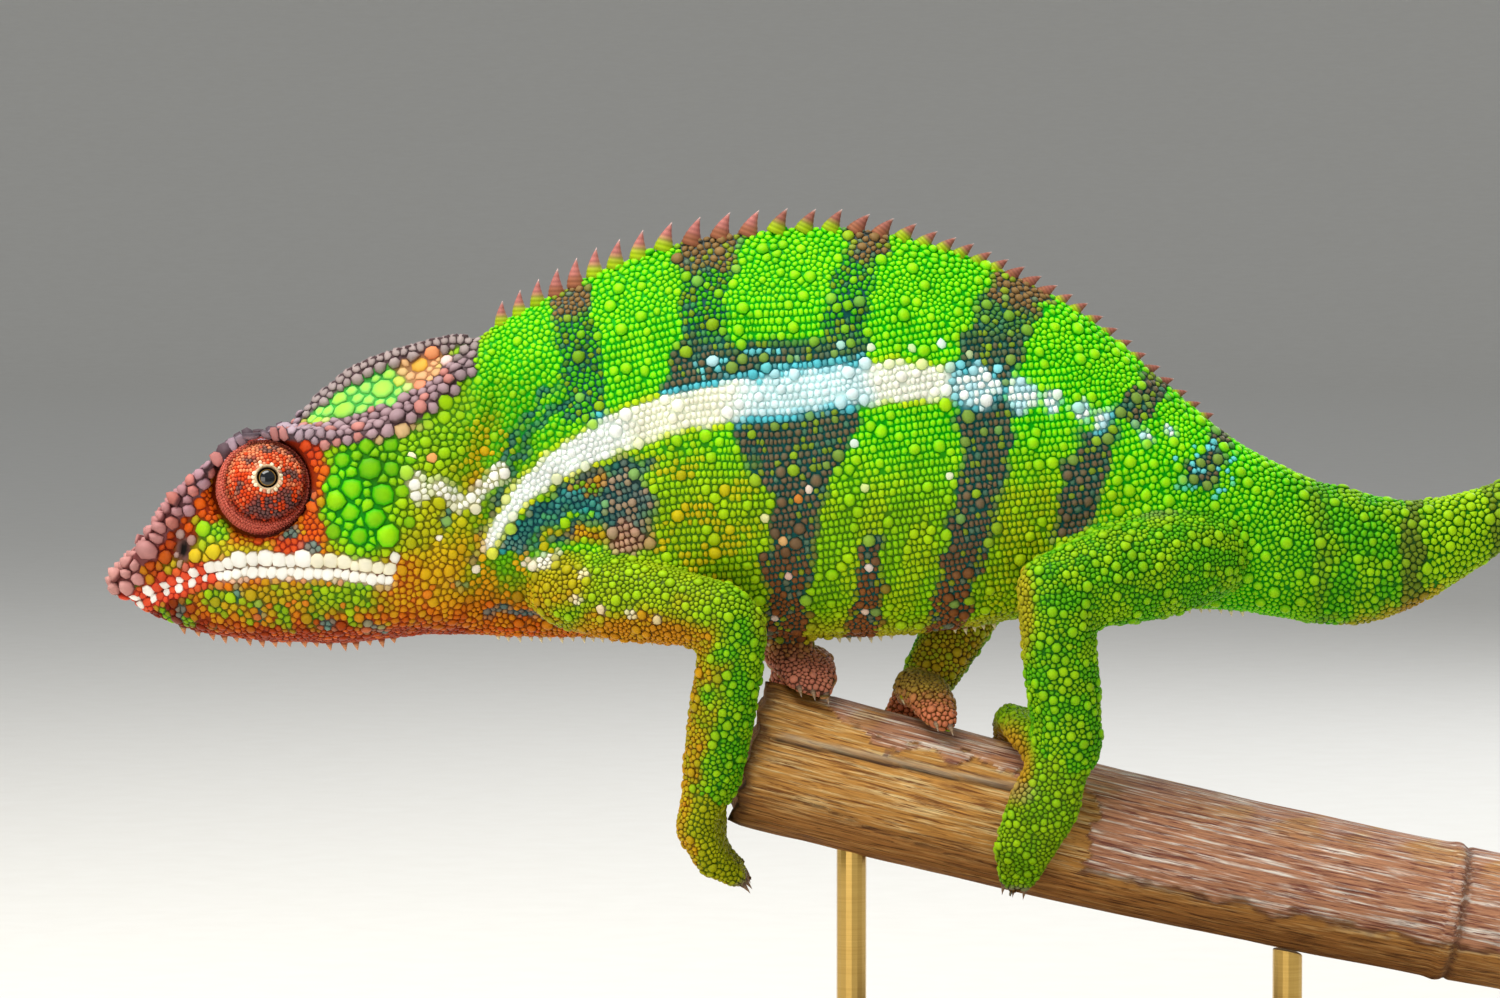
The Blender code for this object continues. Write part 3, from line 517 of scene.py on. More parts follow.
# %% Bars, stripe and spots
BARS = {  # rows of a bar: height, from along, to along
    "shoulder bar": [(66.0, 72.0, 78.5), (59.6, 73.5, 81.5), (50.0, 76.5, 83.0), (37.0, 77.0, 84.5)],
    "second bar": [(72.0, 97.0, 108.5), (68.0, 96.6, 107.0), (53.8, 97.0, 104.2), (46.0, 95.0, 108.0),
                   (38.0, 93.0, 98.0)],
    "third bar": [(72.0, 124.6, 133.6), (66.0, 123.8, 131.0), (58.8, 121.4, 128.0), (44.0, 120.5, 128.5)],
    "fourth bar": [(66.0, 152.0, 164.0), (60.0, 148.5, 160.0), (52.0, 144.0, 155.0), (41.0, 141.0, 150.5)],
    "fifth bar": [(52.0, 178.5, 186.5), (44.5, 175.0, 181.0), (36.5, 166.0, 173.5)],
    "sixth bar": [(40.0, 189.0, 195.0), (35.0, 185.6, 190.7), (26.0, 179.5, 185.0)],
    "first lower bar": [(41.0, 101.5, 128.5), (34.0, 107.0, 125.0), (23.5, 111.7, 120.3),
                        (12.0, 111.2, 118.4), (-3.0, 110.6, 117.8)],
    "second lower bar": [(18.5, 127.8, 130.6), (12.0, 126.0, 130.6), (-3.0, 124.4, 129.8)],
    "third lower bar": [(41.0, 142.0, 153.5), (27.0, 143.0, 150.6), (8.4, 139.0, 146.0),
                        (-3.0, 137.4, 144.4)],
    "fourth lower bar": [(36.0, 163.5, 170.5), (27.0, 160.5, 167.5), (17.5, 158.4, 164.5)],
    "band over the stripe": [(51.0, 108.0, 124.0), (48.5, 101.0, 128.5), (44.0, 97.0, 128.5)],
}
TAIL_BARS = [(204.0, 1.3, 0.35), (219.5, 1.9, 0.85), (234.0, 1.6, 0.7), (249.0, 1.6, 0.7), (264.0, 1.8, 0.7)]
STRIPE = [(64.6, 16.2, 0.8), (67.6, 21.2, 1.1), (70.0, 25.0, 1.5), (76.4, 29.9, 2.2), (86.5, 35.5, 2.9),
          (96.6, 38.7, 3.0), (110.0, 41.5, 3.3), (123.5, 43.4, 3.3), (133.6, 44.0, 2.9), (140.3, 43.6, 2.7)]
STRIPE_SPOTS = [  # along, height, half length, half height
    (146.2, 42.8, 3.6, 3.2), (153.7, 42.0, 2.6, 2.3), (159.1, 40.0, 2.0, 1.9), (163.5, 39.5, 1.3, 1.3),
    (166.8, 37.3, 1.7, 1.7), (174.2, 35.3, 1.3, 1.2), (178.9, 34.9, 1.0, 1.0),
]
STRIPE_TINTS = [  # colour, and where along the body it starts, is full, fades and is gone
    ("#FCFAE0", 84, 92, 102, 108), ("#D6F4F8", 104, 112, 126, 130), ("#F7F8E6", 127, 130, 141, 144),
]
TURQUOISE = [((184.5, 29.0, 5.5, 4.5), 0.72), ((108.0, 46.5, 9.0, 3.5), 0.82)]  # spot, and above which grain
NECK_PATCHES = [
    [(52.6, 27.4, 1.5), (53.4, 24.9, 1.3)], [(56.3, 26.4, 1.3), (58.6, 25.2, 1.4), (60.2, 23.2, 1.1)],
    [(61.8, 23.9, 1.2), (64.6, 26.2, 1.5), (67.4, 30.2, 1.0)], [(71.0, 13.8, 0.9), (75.0, 14.2, 1.0)],
]
SHOULDER_MARKS = [  # along, height, half length, half height; edge, two tones, seam
    ((81.0, 26.5, 5.5, 3.2), 1.4, "#6E9A12", "#B0741A", "#5A4410"),
    ((88.0, 24.0, 4.2, 7.2), 1.2, "#456266", "#8E7668", "#1E3A3C"),
    ((88.2, 17.6, 3.6, 3.0), 1.2, "#C09078", "#A8806A", "#5E3A2A"),
    ((80.5, 18.4, 5.0, 1.3), 0.8, "#C88A12", "#B06A14", "#6E4208"),
]
SHOULDER_BAND = [(68.0, 17.0, 1.2), (73.0, 21.6, 1.9), (78.0, 23.8, 2.3), (83.0, 22.8, 1.9)]
TEAL_LINES = [*(FOLDS[k][0] for k in (2, 3, 5, 6, 7)),
              [(64.0, 5.0), (67.0, 6.2), (70.0, 5.2)], [(70.5, 5.0), (76.0, 4.2), (80.0, 4.4)]]


def in_bar(along, height, rows):
    """How far each point lies outside a bar, in millimetres; negative inside."""
    rows = sorted(rows)
    heights = [row[0] for row in rows]
    start = np.interp(height, heights, [row[1] for row in rows])
    end = np.interp(height, heights, [row[2] for row in rows])
    beyond = np.maximum(heights[0] - height, height - heights[-1])
    return np.maximum(np.maximum(start - along, along - end), beyond)


def in_spot(along, height, spot):
    a, h, long, tall = spot
    return (np.hypot((along - a) / long, (height - h) / tall) - 1) * min(long, tall)


print(len(BARS), "bars,", len(STRIPE_SPOTS), "spots behind the stripe")

# %% [markdown]
# The flank is a green ground with marks laid over it, one after another. Two colours come back for each
# point: the tone of a scale there and the seam between scales, which is darker and often more blue. The
# edges of the marks are ragged by half a scale, because each scale has one colour.

# %% Trunk, neck and tail
EDGE = 0.5  # mm over which one colour gives way to another


def cover(outside, edge=EDGE):
    """How much a mark covers a point that lies this far outside it."""
    return ease(-np.asarray(outside, float), -edge, edge)


def paint_trunk(p, grain):
    """Tone and seam of the trunk, neck and tail. grain is a random number for each point, 0 to 1."""
    along, height = p[:, 0] + 0.8 * drift(p, 5, 11), p[:, 2] + 0.8 * drift(p, 5, 12)
    bright = ease(drift(p, 9, 1) + 0.6 * (grain - 0.5), -0.4, 0.8)
    coat = Layers(mix("#44D806", "#74E408", 0.6 * bright), "#0AA808", len(p))
    front = ease(along, 124, 108)
    low = ease(3 * front - height, -37, -21) * ease(along, 74, 92) * ease(along, 174, 154)
    coat.lay(low, mix(mix("#74B404", "#A2BC08", bright), "#98B404", 0.6 * front), "#4E7A06", 0.9, 0.9)
    golden = low * ease(along, 118, 100) * ease(drift(p, 6, 2) + 1.5 * (grain - 0.5), 0.0, 0.7)
    coat.lay(golden, "#C9A80C", most=0.8)
    late = ease(along, 144, 150) * ease(along, 178, 168) * ease(height, 36, 22)
    coat.lay(late * (0.35 + 0.4 * (grain > 0.6)), "#A8B608")
    coat.lay(ease(along, 164, 184) * ease(height, 34, 18), "#4CB80E", "#167A08", 0.7, 0.7)
    neck = ease(along, 82, 70)
    coat.lay(neck * ease(height, 54, 34), "#4E9A04", most=0.92)
    amber = neck * ease(height, 32, 16) * ease(drift(p, 5, 3) + 1.6 * (grain - 0.5), -0.3, 0.6)
    coat.lay(amber, "#DFA00E", most=0.85)
    coat.lay(neck * ease(height, 40, 20), seam="#5C8408", seam_most=0.7)
    temple = cover(in_spot(along, height, (59.5, 33.0, 9.0, 5.0)), 2.4)
    coat.lay(temple * ease(drift(p, 3.5, 4) + grain - 0.5, -0.4, 0.4), "#D2A00A", most=0.8)
    # The orange of the throat is darker and redder than its own colour, partly as painted shade under the
    # head.
    throat = ease(along, 104, 78) * ease(height, 13, 5)
    coat.lay(throat, mix("#BC4006", "#BC7206", grain), "#802804", 0.95, 0.9)
    belly = ease(height, 6, 0.5) * ease(along, 84, 100) * ease(along, 190, 180)
    coat.lay(belly, "#B99A1E", "#7A4A0A", 0.7, 0.6)
    coat.lay(ease(along, 192, 206), mix("#3CAA08", "#74B40A", bright), "#1A6E06")
    coat.lay(ease(along, 216, 226), "#9AC40A", most=0.75)
    dark = lay_bars(coat, along, height, grain)
    lay_shoulder_and_tail(coat, along, height, grain)
    lay_stripe(coat, p, along, height, grain, dark)
    return coat.tone, coat.seam


def lay_bars(coat, along, height, grain):
    """Lays the dark bars, and gives how much of a bar each point is under."""
    dark = np.max([cover(in_bar(along, height, rows)) for rows in BARS.values()], axis=0)
    from_ridge = np.interp(along, *zip(*RIDGE)) - height
    bar = mix("#4C4A44", "#7A3E22", ease(height, 26, 6))
    high = ease(height, 47, 55) * (1 - 0.65 * ease(along, 134, 142))
    bar = mix(bar, mix("#16A40E", "#2E6420", grain > 0.7), high)
    bar = mix(bar, "#80583A", ease(from_ridge, 6.5, 4.5) * (along < 166))
    leaf = ease(along, 90, 86) * ease(from_ridge, 6, 9)
    bar = mix(bar, mix("#1EA210", "#3A6A1E", grain > 0.7), leaf)
    bar = mix(bar, "#7A9410", (grain > 0.84) * 0.75)
    bar = mix(bar, "#2F6E62", ((grain > 0.66) & (grain < 0.76)) * 0.6)
    coat.lay(dark, bar, "#0E504C", 0.96)
    coat.lay(dark * ease(from_ridge, 6, 3), seam="#5E5A58", seam_most=0.6)
    return dark


def lay_shoulder_and_tail(coat, along, height, grain):
    """The patch behind the shoulder, the bars and the underside of the tail, and the folds' blue lines."""
    for spot, edge, some, more, between in SHOULDER_MARKS:
        mark = cover(in_spot(along, height, spot), edge) * (height < 36)
        coat.lay(mark, mix(some, more, grain > 0.55), between, 0.92)
    streaks = 0.7 * np.sin(3.4 * (height - 0.35 * along))
    coat.lay(cover(stroke(along, height, SHOULDER_BAND) + streaks), "#1C7A80", "#0A444C", 0.9)
    for at, half, strength in TAIL_BARS:
        coat.lay(cover(np.abs(along - at) - half) * strength, "#5E6A1E", "#2E4A1E")
    climb = 0.35 * (along - 200)
    under = ease(along, 196, 206) * ease(height, 2.6 + climb, climb - 1)
    coat.lay(under * (along < 240), "#B9801E", most=0.6)
    for line in TEAL_LINES:
        mark = cover(stroke(along, height, line) - 0.6) * (along < 96)
        coat.lay(mark, "#155E60", "#0B4650", 0.85)


def lay_stripe(coat, p, along, height, grain, dark):
    """The pale stripe and its spots, rimmed with yellow on the green and with blue on the bars."""
    inside = stroke(p[:, 0], 0.6 * p[:, 2] + 0.4 * height, STRIPE)
    ragged = inside + 0.5 * (grain - 0.5)
    coat.lay(cover(ragged - 0.9, 0.4) * (1 - dark), "#D9E01A", "#9AAE10", 0.75, 0.6)
    coat.lay(cover(ragged - 1.2, 0.5) * dark, "#4FC0D0", "#1E828E", 0.9, 0.9)
    pale = "#F4F9F4"
    for colour, start, full, fading, gone in STRIPE_TINTS:
        pale = mix(pale, colour, ease(along, start, full) * ease(along, gone, fading))
    stripe = cover(inside)
    rim = stripe * ease(inside, -1.0, -0.2) * ease(along, 104, 112) * ease(along, 130, 126)
    pale = mix(pale, "#8ED8E6", 0.8 * rim * (grain > 0.4))
    coat.lay(stripe, pale, mix(pale, "#A8CFC4", 0.3))
    for spot in STRIPE_SPOTS:
        outside = in_spot(along, height, spot)
        coat.lay(cover(outside - 0.9) * dark, "#4FC0D0", "#1E7C86", 0.8, 0.8)
        coat.lay(cover(outside), mix("#EDF6F0", "#B4E2EA", grain > 0.6), "#8FB9BE")
    for patch in NECK_PATCHES:
        coat.lay(cover(stroke(along, height, patch)), "#F7F5E6", "#B9B98C")
    beads = [cover(in_spot(along, height, spot)) * (grain > least) for spot, least in TURQUOISE]
    coat.lay(np.max(beads, axis=0), "#5CC4CE", most=0.9)

# %% [markdown]
# The head is a patchwork, so it is painted as soft patches over an orange and yellow ground: the red round
# the eye, the green of the cheek, the light green roof of the casque and the red throat. The red under the
# jaw is darker than its own colour, as painted shade under the head.

# %% Head
HEAD_PATCHES = [  # along, height, reach along, reach up, tone, strength, seam
    (44.5, 25.0, 8.5, 11.0, "#4ECB06", 1.00, "#0C8A0A"),
    (52.0, 33.0, 10.0, 8.0, "#66B00A", 0.92, "#2E7A08"),
    (56.0, 22.0, 7.0, 9.0, "#A2B80E", 0.80, "#5E7A0A"),
    (42.0, 42.0, 12.0, 6.5, "#8AE070", 1.00, "#3AA53A"),
    (55.0, 46.4, 5.6, 4.8, "#DCA474", 0.95, "#A8724A"),
    (61.0, 41.0, 4.5, 11.0, "#74B008", 0.90, "#3E7A06"),
    (46.0, 36.6, 8.0, 1.9, "#D99A7E", 0.75, "#8F5A44"),
    (36.0, 25.5, 1.9, 9.0, "#D84A10", 0.90, "#922410"),
    (30.0, 16.4, 6.5, 1.8, "#D9481E", 0.95, "#9A2410"),
    (33.0, 32.5, 4.5, 3.0, "#D0401A", 0.95, "#8E2A14"),
    (16.5, 22.0, 4.0, 6.0, "#C0480A", 0.95, "#862808"),
    (11.0, 14.5, 5.5, 4.5, "#A03410", 0.95, "#6E1A0A"),
    (10.8, 12.8, 2.4, 1.3, "#B0A21A", 0.80, "#7A6A0A"),
    (18.5, 18.2, 3.0, 2.4, "#6FC81A", 0.90, "#2E8A12"),
    (17.5, 15.2, 4.0, 2.0, "#D9BC1E", 0.90, "#8F8A10"),
    (24.5, 15.4, 4.5, 1.6, "#C6C21E", 0.80, "#8F8A10"),
    (32.0, 7.4, 15.0, 3.0, "#A89A10", 0.80, "#5E6A0A"),
    (43.0, 8.0, 8.0, 2.8, "#6CB00C", 0.75, "#2E7A0A"),
    (52.0, 9.5, 6.0, 4.5, "#CF8E0E", 0.80, "#A04A08"),
    (58.0, 12.0, 5.0, 6.0, "#CFA20E", 0.80, "#8A6A08"),
]
TEAL_SPOTS = [(35.2, 24.2, 1.1, 1.5), (32.0, 18.4, 1.4, 1.0), (35.6, 16.0, 1.6, 0.7), (40.0, 11.4, 2.2, 0.5),
              (23.0, 8.2, 0.6, 1.6), (27.0, 5.0, 0.7, 1.5), (13.0, 5.4, 0.6, 1.0), (45.5, 3.0, 1.8, 0.7),
              (57.6, 21.0, 0.8, 1.2), (60.0, 10.0, 1.4, 0.6), (38.0, 3.4, 1.2, 0.6)]


def paint_head(p, grain):
    along, height = p[:, 0] + 0.6 * drift(p, 4, 21), p[:, 2] + 0.6 * drift(p, 4, 22)
    coat = Layers(mix("#CF6A0C", "#CF9E0E", ease(drift(p, 3, 23) + grain, 0.2, 1.2)), "#96400A", len(p))
    # The red under the jaw and at the front of the snout is darker than the animal's own red: painted shade
    # under the head.
    red_with_painted_shade = np.clip(ease(height, 5.0, 1.5) + ease(along, 22, 10) * (height < 10), 0, 1)
    coat.lay(red_with_painted_shade, mix("#661004", "#7C2406", grain), "#661408")
    for *spot, colour, strength, between in HEAD_PATCHES:
        coat.lay(cover(in_spot(along, height, spot), 0.3 * min(spot[2:])) * strength, colour, between)
    coat.lay((grain > 0.83) & (height < 12) & (along > 18), "#D8641A", most=0.75)
    # The low part of the head is pulled to a darker red-orange: partly its own colour, partly painted shade.
    coat.lay(ease(height, 9, 2) * ease(along, 12, 20), "#B04208", "#7E2A08", 0.45, 0.5)
    leafy = (height < 10) * ease(height, 1.5, 4) * ease(drift(p, 4, 62) + grain - 0.5, 0.15, 0.4)
    coat.lay(leafy * ease(along, 50, 44), "#62A80C", "#1E6A1A", 0.75, 0.8)
    for spot in TEAL_SPOTS:
        coat.lay(cover(in_spot(along, height, spot), 0.4), "#3E7F78", "#0F4F4C", 0.85, 0.85)
    along, height = p[:, 0], p[:, 2]
    for patch in NECK_PATCHES:
        coat.lay(cover(stroke(along, height, patch)), "#F7F5E6", "#B9B98C")
    mouth = np.abs(stroke(along, height, MOUTH))
    coat.lay(cover(mouth - 2.2, 0.5) * ease(along, 22, 19), "#D9482A", "#A83020")
    pale_lip = cover(mouth - 2.0, 0.5) * ease(along, 19, 22) * ease(along, 49.6, 48.4)
    coat.lay(pale_lip, "#E6DCC8", "#C8B89C")
    coat.lay(cover(mouth - 0.3, 0.25), seam="#7A4038")
    hole = nostril_away(p)
    coat.lay(cover(hole - 1.9, 0.3), "#A08078")
    # Inside the nostril's pit the seams are painted darker and then near black: painted shade in the hole.
    for reach, colour in ((1.3, "#6E4A44"), (0.85, "#140E0C")):
        coat.lay(cover(hole - reach, 0.2), seam=colour)
    return coat.tone, coat.seam

# %% [markdown]
# The big scales of the crests are of bare horn: pink on the snout, grey over the eye, and brown-mauve with
# a few orange ones on the casque.

# %% Crests
CREST_COLOURS = [  # along, tone, seam
    (0, "#C28A82", "#7E4440"), (10, "#B87E7C", "#7A4244"), (16, "#A87E88", "#66484E"),
    (24, "#A08E9C", "#62545C"), (34, "#A48E98", "#62525A"), (42, "#A0848A", "#5E484C"),
    (56, "#9A7E84", "#5A4246"), (63, "#968286", "#584A4C"),
]


def paint_crest(p, grain):
    stations = [row[0] for row in CREST_COLOURS]
    tone, seam = (np.stack([np.interp(p[:, 0], stations, [linear(row[k])[c] for row in CREST_COLOURS])
                            for c in range(3)], 1) for k in (1, 2))
    crown = (np.abs(p[:, 1]) < 2.4) & (p[:, 0] > 33)
    tone = mix(tone, "#9A8E88", 0.7 * crown)
    rosy = (grain > 0.8) & ~crown & (p[:, 0] > 12)
    return mix(tone, "#C86A50", 0.55 * rosy), seam

# %% [markdown]
# The legs are green on top with yellow-green grains, and turn orange and brown towards the soles. The toes
# of the far feet are rosy.

# %% Legs and feet
LIMB_PATCHES = [  # along, height, reach along, reach up, tone, strength
    (92.0, 9.5, 14.0, 6.0, "#9CA80C", 0.60),
    (75.5, 11.0, 6.0, 5.0, "#B89A10", 0.70),
    (90.0, 2.0, 12.0, 3.4, "#C06C0E", 0.85),
    (112.5, 6.0, 4.0, 6.0, "#A29A14", 0.60),
    (73.3, 13.9, 2.3, 1.3, "#F4F0DC", 1.00),
    (80.7, 11.9, 0.8, 0.8, "#EEE2B0", 0.90),
    *((*spot, 0.8, 0.8, "#EEE2C0", 0.90) for spot in ((79.6, 7.8), (84.1, 6.1), (88.8, 5.7), (93.1, 5.0))),
    (95.5, -27.0, 2.4, 9.0, "#B8801E", 0.70),
    (107.5, -41.5, 2.2, 1.8, "#8F7A78", 0.80),
    (153.0, 6.0, 2.4, 8.5, "#B8981E", 0.70),
    (152.8, -41.5, 2.6, 1.2, "#8F7A78", 0.80),
    (152.0, -19.5, 3.2, 6.0, "#BC7E20", 0.80),
    (153.5, -24.0, 2.6, 1.6, "#8E8A5A", 0.40),
    (176.0, 23.0, 5.0, 2.0, "#8A8F5A", 0.45),
]
FAR_TOES = [  # part, colour of its back, of its toes and of its seams, and the height where the toes begin
    ("hand", "#A07038", "#B4625A", "#5E3430", -2.0), ("foot", "#9C7A34", "#C26450", "#6A3C1E", -9.5),
]
FAR = np.array([name.endswith("_right") for name in COVERED])


def paint_limbs(p, part, grain, facing):
    """Limbs are duller and more orange on the side that faces the other limb."""
    group = part_group[part]
    coat = Layers(mix("#46A008", "#78AE0A", ease(drift(p, 6, 31) + grain, 0.1, 1.2)), "#1E6A06", len(p))
    for word, colour, strength in (("hand", "#AA9C0C", 0.70), ("foot", "#7E920C", 0.45)):
        coat.lay(is_in(group, word), colour, "#5E660A", strength, strength)
    for *spot, colour, strength in LIMB_PATCHES:
        mark = cover(in_spot(p[:, 0], p[:, 2], spot), 0.4 * min(spot[2:]))
        coat.lay(mark, colour, linear(colour) * 0.3, strength, strength)
    front = ease(-facing[:, 0] + 0.3 * drift(p, 6, 32), 0.15, 0.8) * is_in(group, "arm", "hand")
    coat.lay(front * ease(p[:, 2], 14, 4), mix("#C8820E", "#A8A00E", grain), "#7A480A", 0.85, 0.75)
    inner = ease(facing[:, 1] * np.where(FAR[part], -1, 1), -0.1, 0.7)
    coat.lay(inner, mix("#C0821A", "#9A961A", grain), "#6E420C", 0.75, 0.75)
    for word, back, toe, between, tips in FAR_TOES:
        far_toes = (is_in(group, word) & FAR[part]) * ease(facing[:, 1], 0.5, -0.2)
        coat.lay(far_toes, mix(back, toe, ease(tips - p[:, 2] + 2 * grain, -1, 3)), between, 0.85, 0.8)
    return coat.tone, coat.seam


def paint(p, part, grain, facing):
    """Tone and seam of every point of skin or coat, by the part of the animal that it is on."""
    tone, seam = np.zeros((2, len(p), 3))
    group = part_group[part]
    painters = {paint_head: ("head",), paint_trunk: ("neck", "trunk", "tail"), paint_crest: ("crest",)}
    for painter, names in painters.items():
        chosen = is_in(group, *names)
        tone[chosen], seam[chosen] = painter(p[chosen], grain[chosen])
    border = is_in(group, "head", "neck") & (p[:, 0] > 54) & (p[:, 0] < 70)
    share = ease(p[border, 0] + 1.5 * drift(p[border], 5, 61), 57, 67)
    both = zip(paint_head(p[border], grain[border]), paint_trunk(p[border], grain[border]))
    tone[border], seam[border] = (mix(head, neck, share) for head, neck in both)
    chosen = is_in(group, "arm", "hand", "leg", "foot")
    tone[chosen], seam[chosen] = paint_limbs(p[chosen], part[chosen], grain[chosen], facing[chosen])
    return tone, seam


_, skin_seam = paint(skin_points, skin_part, np.full(len(skin_points), 0.5), skin_normals)
print("painted", len(skin_points), "points of skin")

# %% [markdown]
# ## Reptile skin
#
# The real material is keratin over a thin dermis, which gives each scale a satin light and the skin between
# scales a deeper, matt colour. A point's rise says how high it is on its scale, and the shader turns that
# into seam, tone and a lighter tip, which is partly the scale's own paler colour and partly a painted
# highlight. Fine wrinkles of a sixth of a millimetre break the gloss, drawn coarser than the real ones so
# that they show.

# %% Keratin
WRINKLE_PITCH = 0.17  # mm


def scaly(name, strength, roughness):
    """Keratin of scales; strength says how far the tips of the scales take the colour of their crown, which
    holds a painted highlight.
    """
    material, tree, shader = new_material(name, Roughness=roughness, IOR=1.45, Specular_IOR_Level=0.10)
    tone, seam, crown = (carried(tree, word, "Color") for word in ("tone", "seam", "crown"))
    rise = carried(tree, "rise", "Fac")
    place = add_node(tree, "TexCoord", out="Object")
    cloud = add_node(tree, "TexNoise", Vector=place, Scale=260.0, Detail=3.0)
    wrinkle = add_node(tree, "TexNoise", Vector=place, Scale=1 / (WRINKLE_PITCH * MM), Detail=2.0)
    smooth = {"interpolation_type": "SMOOTHSTEP"}
    out_of_seam = add_node(tree, "MapRange", smooth, Value=rise, From_Min=0.12, From_Max=0.5)
    to_tip = add_node(tree, "MapRange", smooth, Value=rise, From_Min=0.5, From_Max=1.0, To_Max=strength)
    body = add_node(tree, "Mix", COLOURS, 2, in_0=out_of_seam, in_6=seam, in_7=tone)
    tip = add_node(tree, "Mix", COLOURS, 2, in_0=to_tip, in_6=body, in_7=crown)
    shade = add_node(tree, "MapRange", Value=cloud, From_Min=0.3, From_Max=0.7, To_Min=0.86, To_Max=1.1)
    lit = add_node(tree, "VectorMath", {"operation": "SCALE"}, in_0=tip, Scale=shade)
    finish_with(tree, shader, lit, wrinkle, 0.03, 0.5)
    return material


def tip_tint_with_painted_highlight(tone):
    """The colour of a tip: paler than the scale's tone as a painted highlight, brown where that is dark,
    yellow on green.
    """
    green = ease(tone[:, 1] - 1.2 * tone[:, 0], 0.02, 0.15) * (tone[:, 2] < 0.2)
    # The paling towards white is a painted highlight on the tip of each scale.
    paler = mix(tone, 1 - (1 - tone) ** 2, 0.35)
    green = green * (0.25 + 0.75 * ease(tone[:, 1], 0.3, 0.5))
    paler = mix(paler, "#A06C40", 0.5 * ease(tone.max(1), 0.13, 0.07))
    return mix(paler, linear("#B2E20A") * (0.25 + 1.1 * tone[:, 1:2]), 0.60 * green)


KERATIN = scaly("satin keratin of scales", 0.85, 0.42)
skin = add_mesh("skin", skin_points, face_corners(skin_quads), KERATIN,
                {"tone": skin_seam, "seam": skin_seam}, {"rise": np.zeros(len(skin_points))})
belongs(skin, "skin", *FLESH)

# %% [markdown]
# ## Laying the scales
#
# Chameleon scales are granular: small beads packed side by side, with larger tubercles among them. Geometry
# Nodes could set them, but beads that fit need to know who is beside them. So many random places are drawn
# on the skin, crowded ones are thinned out, largest scales first, and the rest push each other apart until
# they lie evenly.

# %% A surface that scales can be laid on
class Surface:
    """Triangles with soft normals, the part each corner belongs to, and an unwrap."""

    def __init__(self, points, triangles, group, unwrap):
        self.points, self.triangles, self.group, self.unwrap = points, triangles, group, unwrap
        self.normals = normals_of(points, triangles)
        self.tree = BVHTree.FromPolygons(points.tolist(), triangles.tolist())
        self.a, self.b, self.c = (points[triangles[:, k]] for k in range(3))
        self.flat_normals = np.cross(self.b - self.a, self.c - self.a)
        self.area = np.linalg.norm(self.flat_normals, axis=1) / 2

    def nearest(self, points):
        """The nearest places on the surface and the triangles that they are in."""
        hits = [self.tree.find_nearest(p) for p in points.tolist()]
        return np.array([hit[0] for hit in hits]), np.array([hit[2] for hit in hits])

    def group_at(self, faces):
        return self.group[self.triangles[faces, 0]]

    def normal_at(self, faces):
        return unit(self.normals[self.triangles[faces]].sum(1))

    def from_side(self, along, height, side):
        """The place where a line from the animal's left (-1) or right (1) first meets the surface."""
        return self.tree.ray_cast(Vector((along, side * 60.0, height)), Vector((0, -side, 0)))[0]

    def scattered(self, amount, weight, draw):
        """Random places, denser where the weight of a triangle is larger."""
        share = self.area * weight
        faces = draw.choice(len(share), amount, p=share / share.sum())
        a, b, c = self.a[faces], self.b[faces], self.c[faces]
        u, v = draw.random((2, amount, 1))
        flip = u + v > 1
        u, v = np.where(flip, 1 - u, u), np.where(flip, 1 - v, v)
        return a + u * (b - a) + v * (c - a), faces


def near_pairs(points, reach):
    """Every two points that lie within reach of each other, found through a grid of cubes."""
    cells = np.floor((points - points.min(0)) / reach).astype(np.int64) + 1
    span = cells.max(0) + 2
    keys = (cells[:, 0] * span[1] + cells[:, 1]) * span[2] + cells[:, 2]
    order = np.argsort(keys, kind="stable")
    ordered = keys[order]
    ones, twos = [], []
    for step in product((-1, 0, 1), repeat=3):
        wanted = keys + (step[0] * span[1] + step[1]) * span[2] + step[2]
        first = np.searchsorted(ordered, wanted)
        count = np.searchsorted(ordered, wanted, side="right") - first
        one = np.repeat(np.arange(len(points)), count)
        two = order[np.repeat(first - np.cumsum(count) + count, count) + np.arange(len(one))]
        later = one < two
        one, two = one[later], two[later]
        near = ((points[one] - points[two]) ** 2).sum(1) < reach ** 2
        ones.append(one[near])
        twos.append(two[near])
    return np.concatenate(ones), np.concatenate(twos)


CROWDING = 0.80  # how close two scales may start, as a share of their mean diameter


def thinned(points, diameters, rank):
    """Keeps the places of lowest rank and drops those that are too near to them."""
    one, two = near_pairs(points, CROWDING * diameters.max())
    away = np.linalg.norm(points[one] - points[two], axis=1)
    close = away < CROWDING * (diameters[one] + diameters[two]) / 2
    one, two = one[close], two[close]
    state = np.zeros(len(points), np.int8)
    while (state == 0).any():
        open_pair = (state[one] == 0) & (state[two] == 0)
        one, two = one[open_pair], two[open_pair]
        lowest = np.full(len(points), np.inf)
        np.minimum.at(lowest, one, rank[two])
        np.minimum.at(lowest, two, rank[one])
        chosen = (state == 0) & (rank < lowest)
        state[chosen] = 1
        state[two[chosen[one]]] = -1
        state[one[chosen[two]]] = -1
    return state == 1


def clear_of(points, others, room):
    """Which points keep this room (one number for each of the others) from all the others."""
    keep = np.ones(len(points), bool)
    tree = KDTree(len(points))
    for k, point in enumerate(points.tolist()):
        tree.insert(point, k)
    tree.balance()
    for other, reach in zip(others.tolist(), room.tolist()):
        for _, k, _ in tree.find_range(other, reach):
            keep[k] = False
    return keep


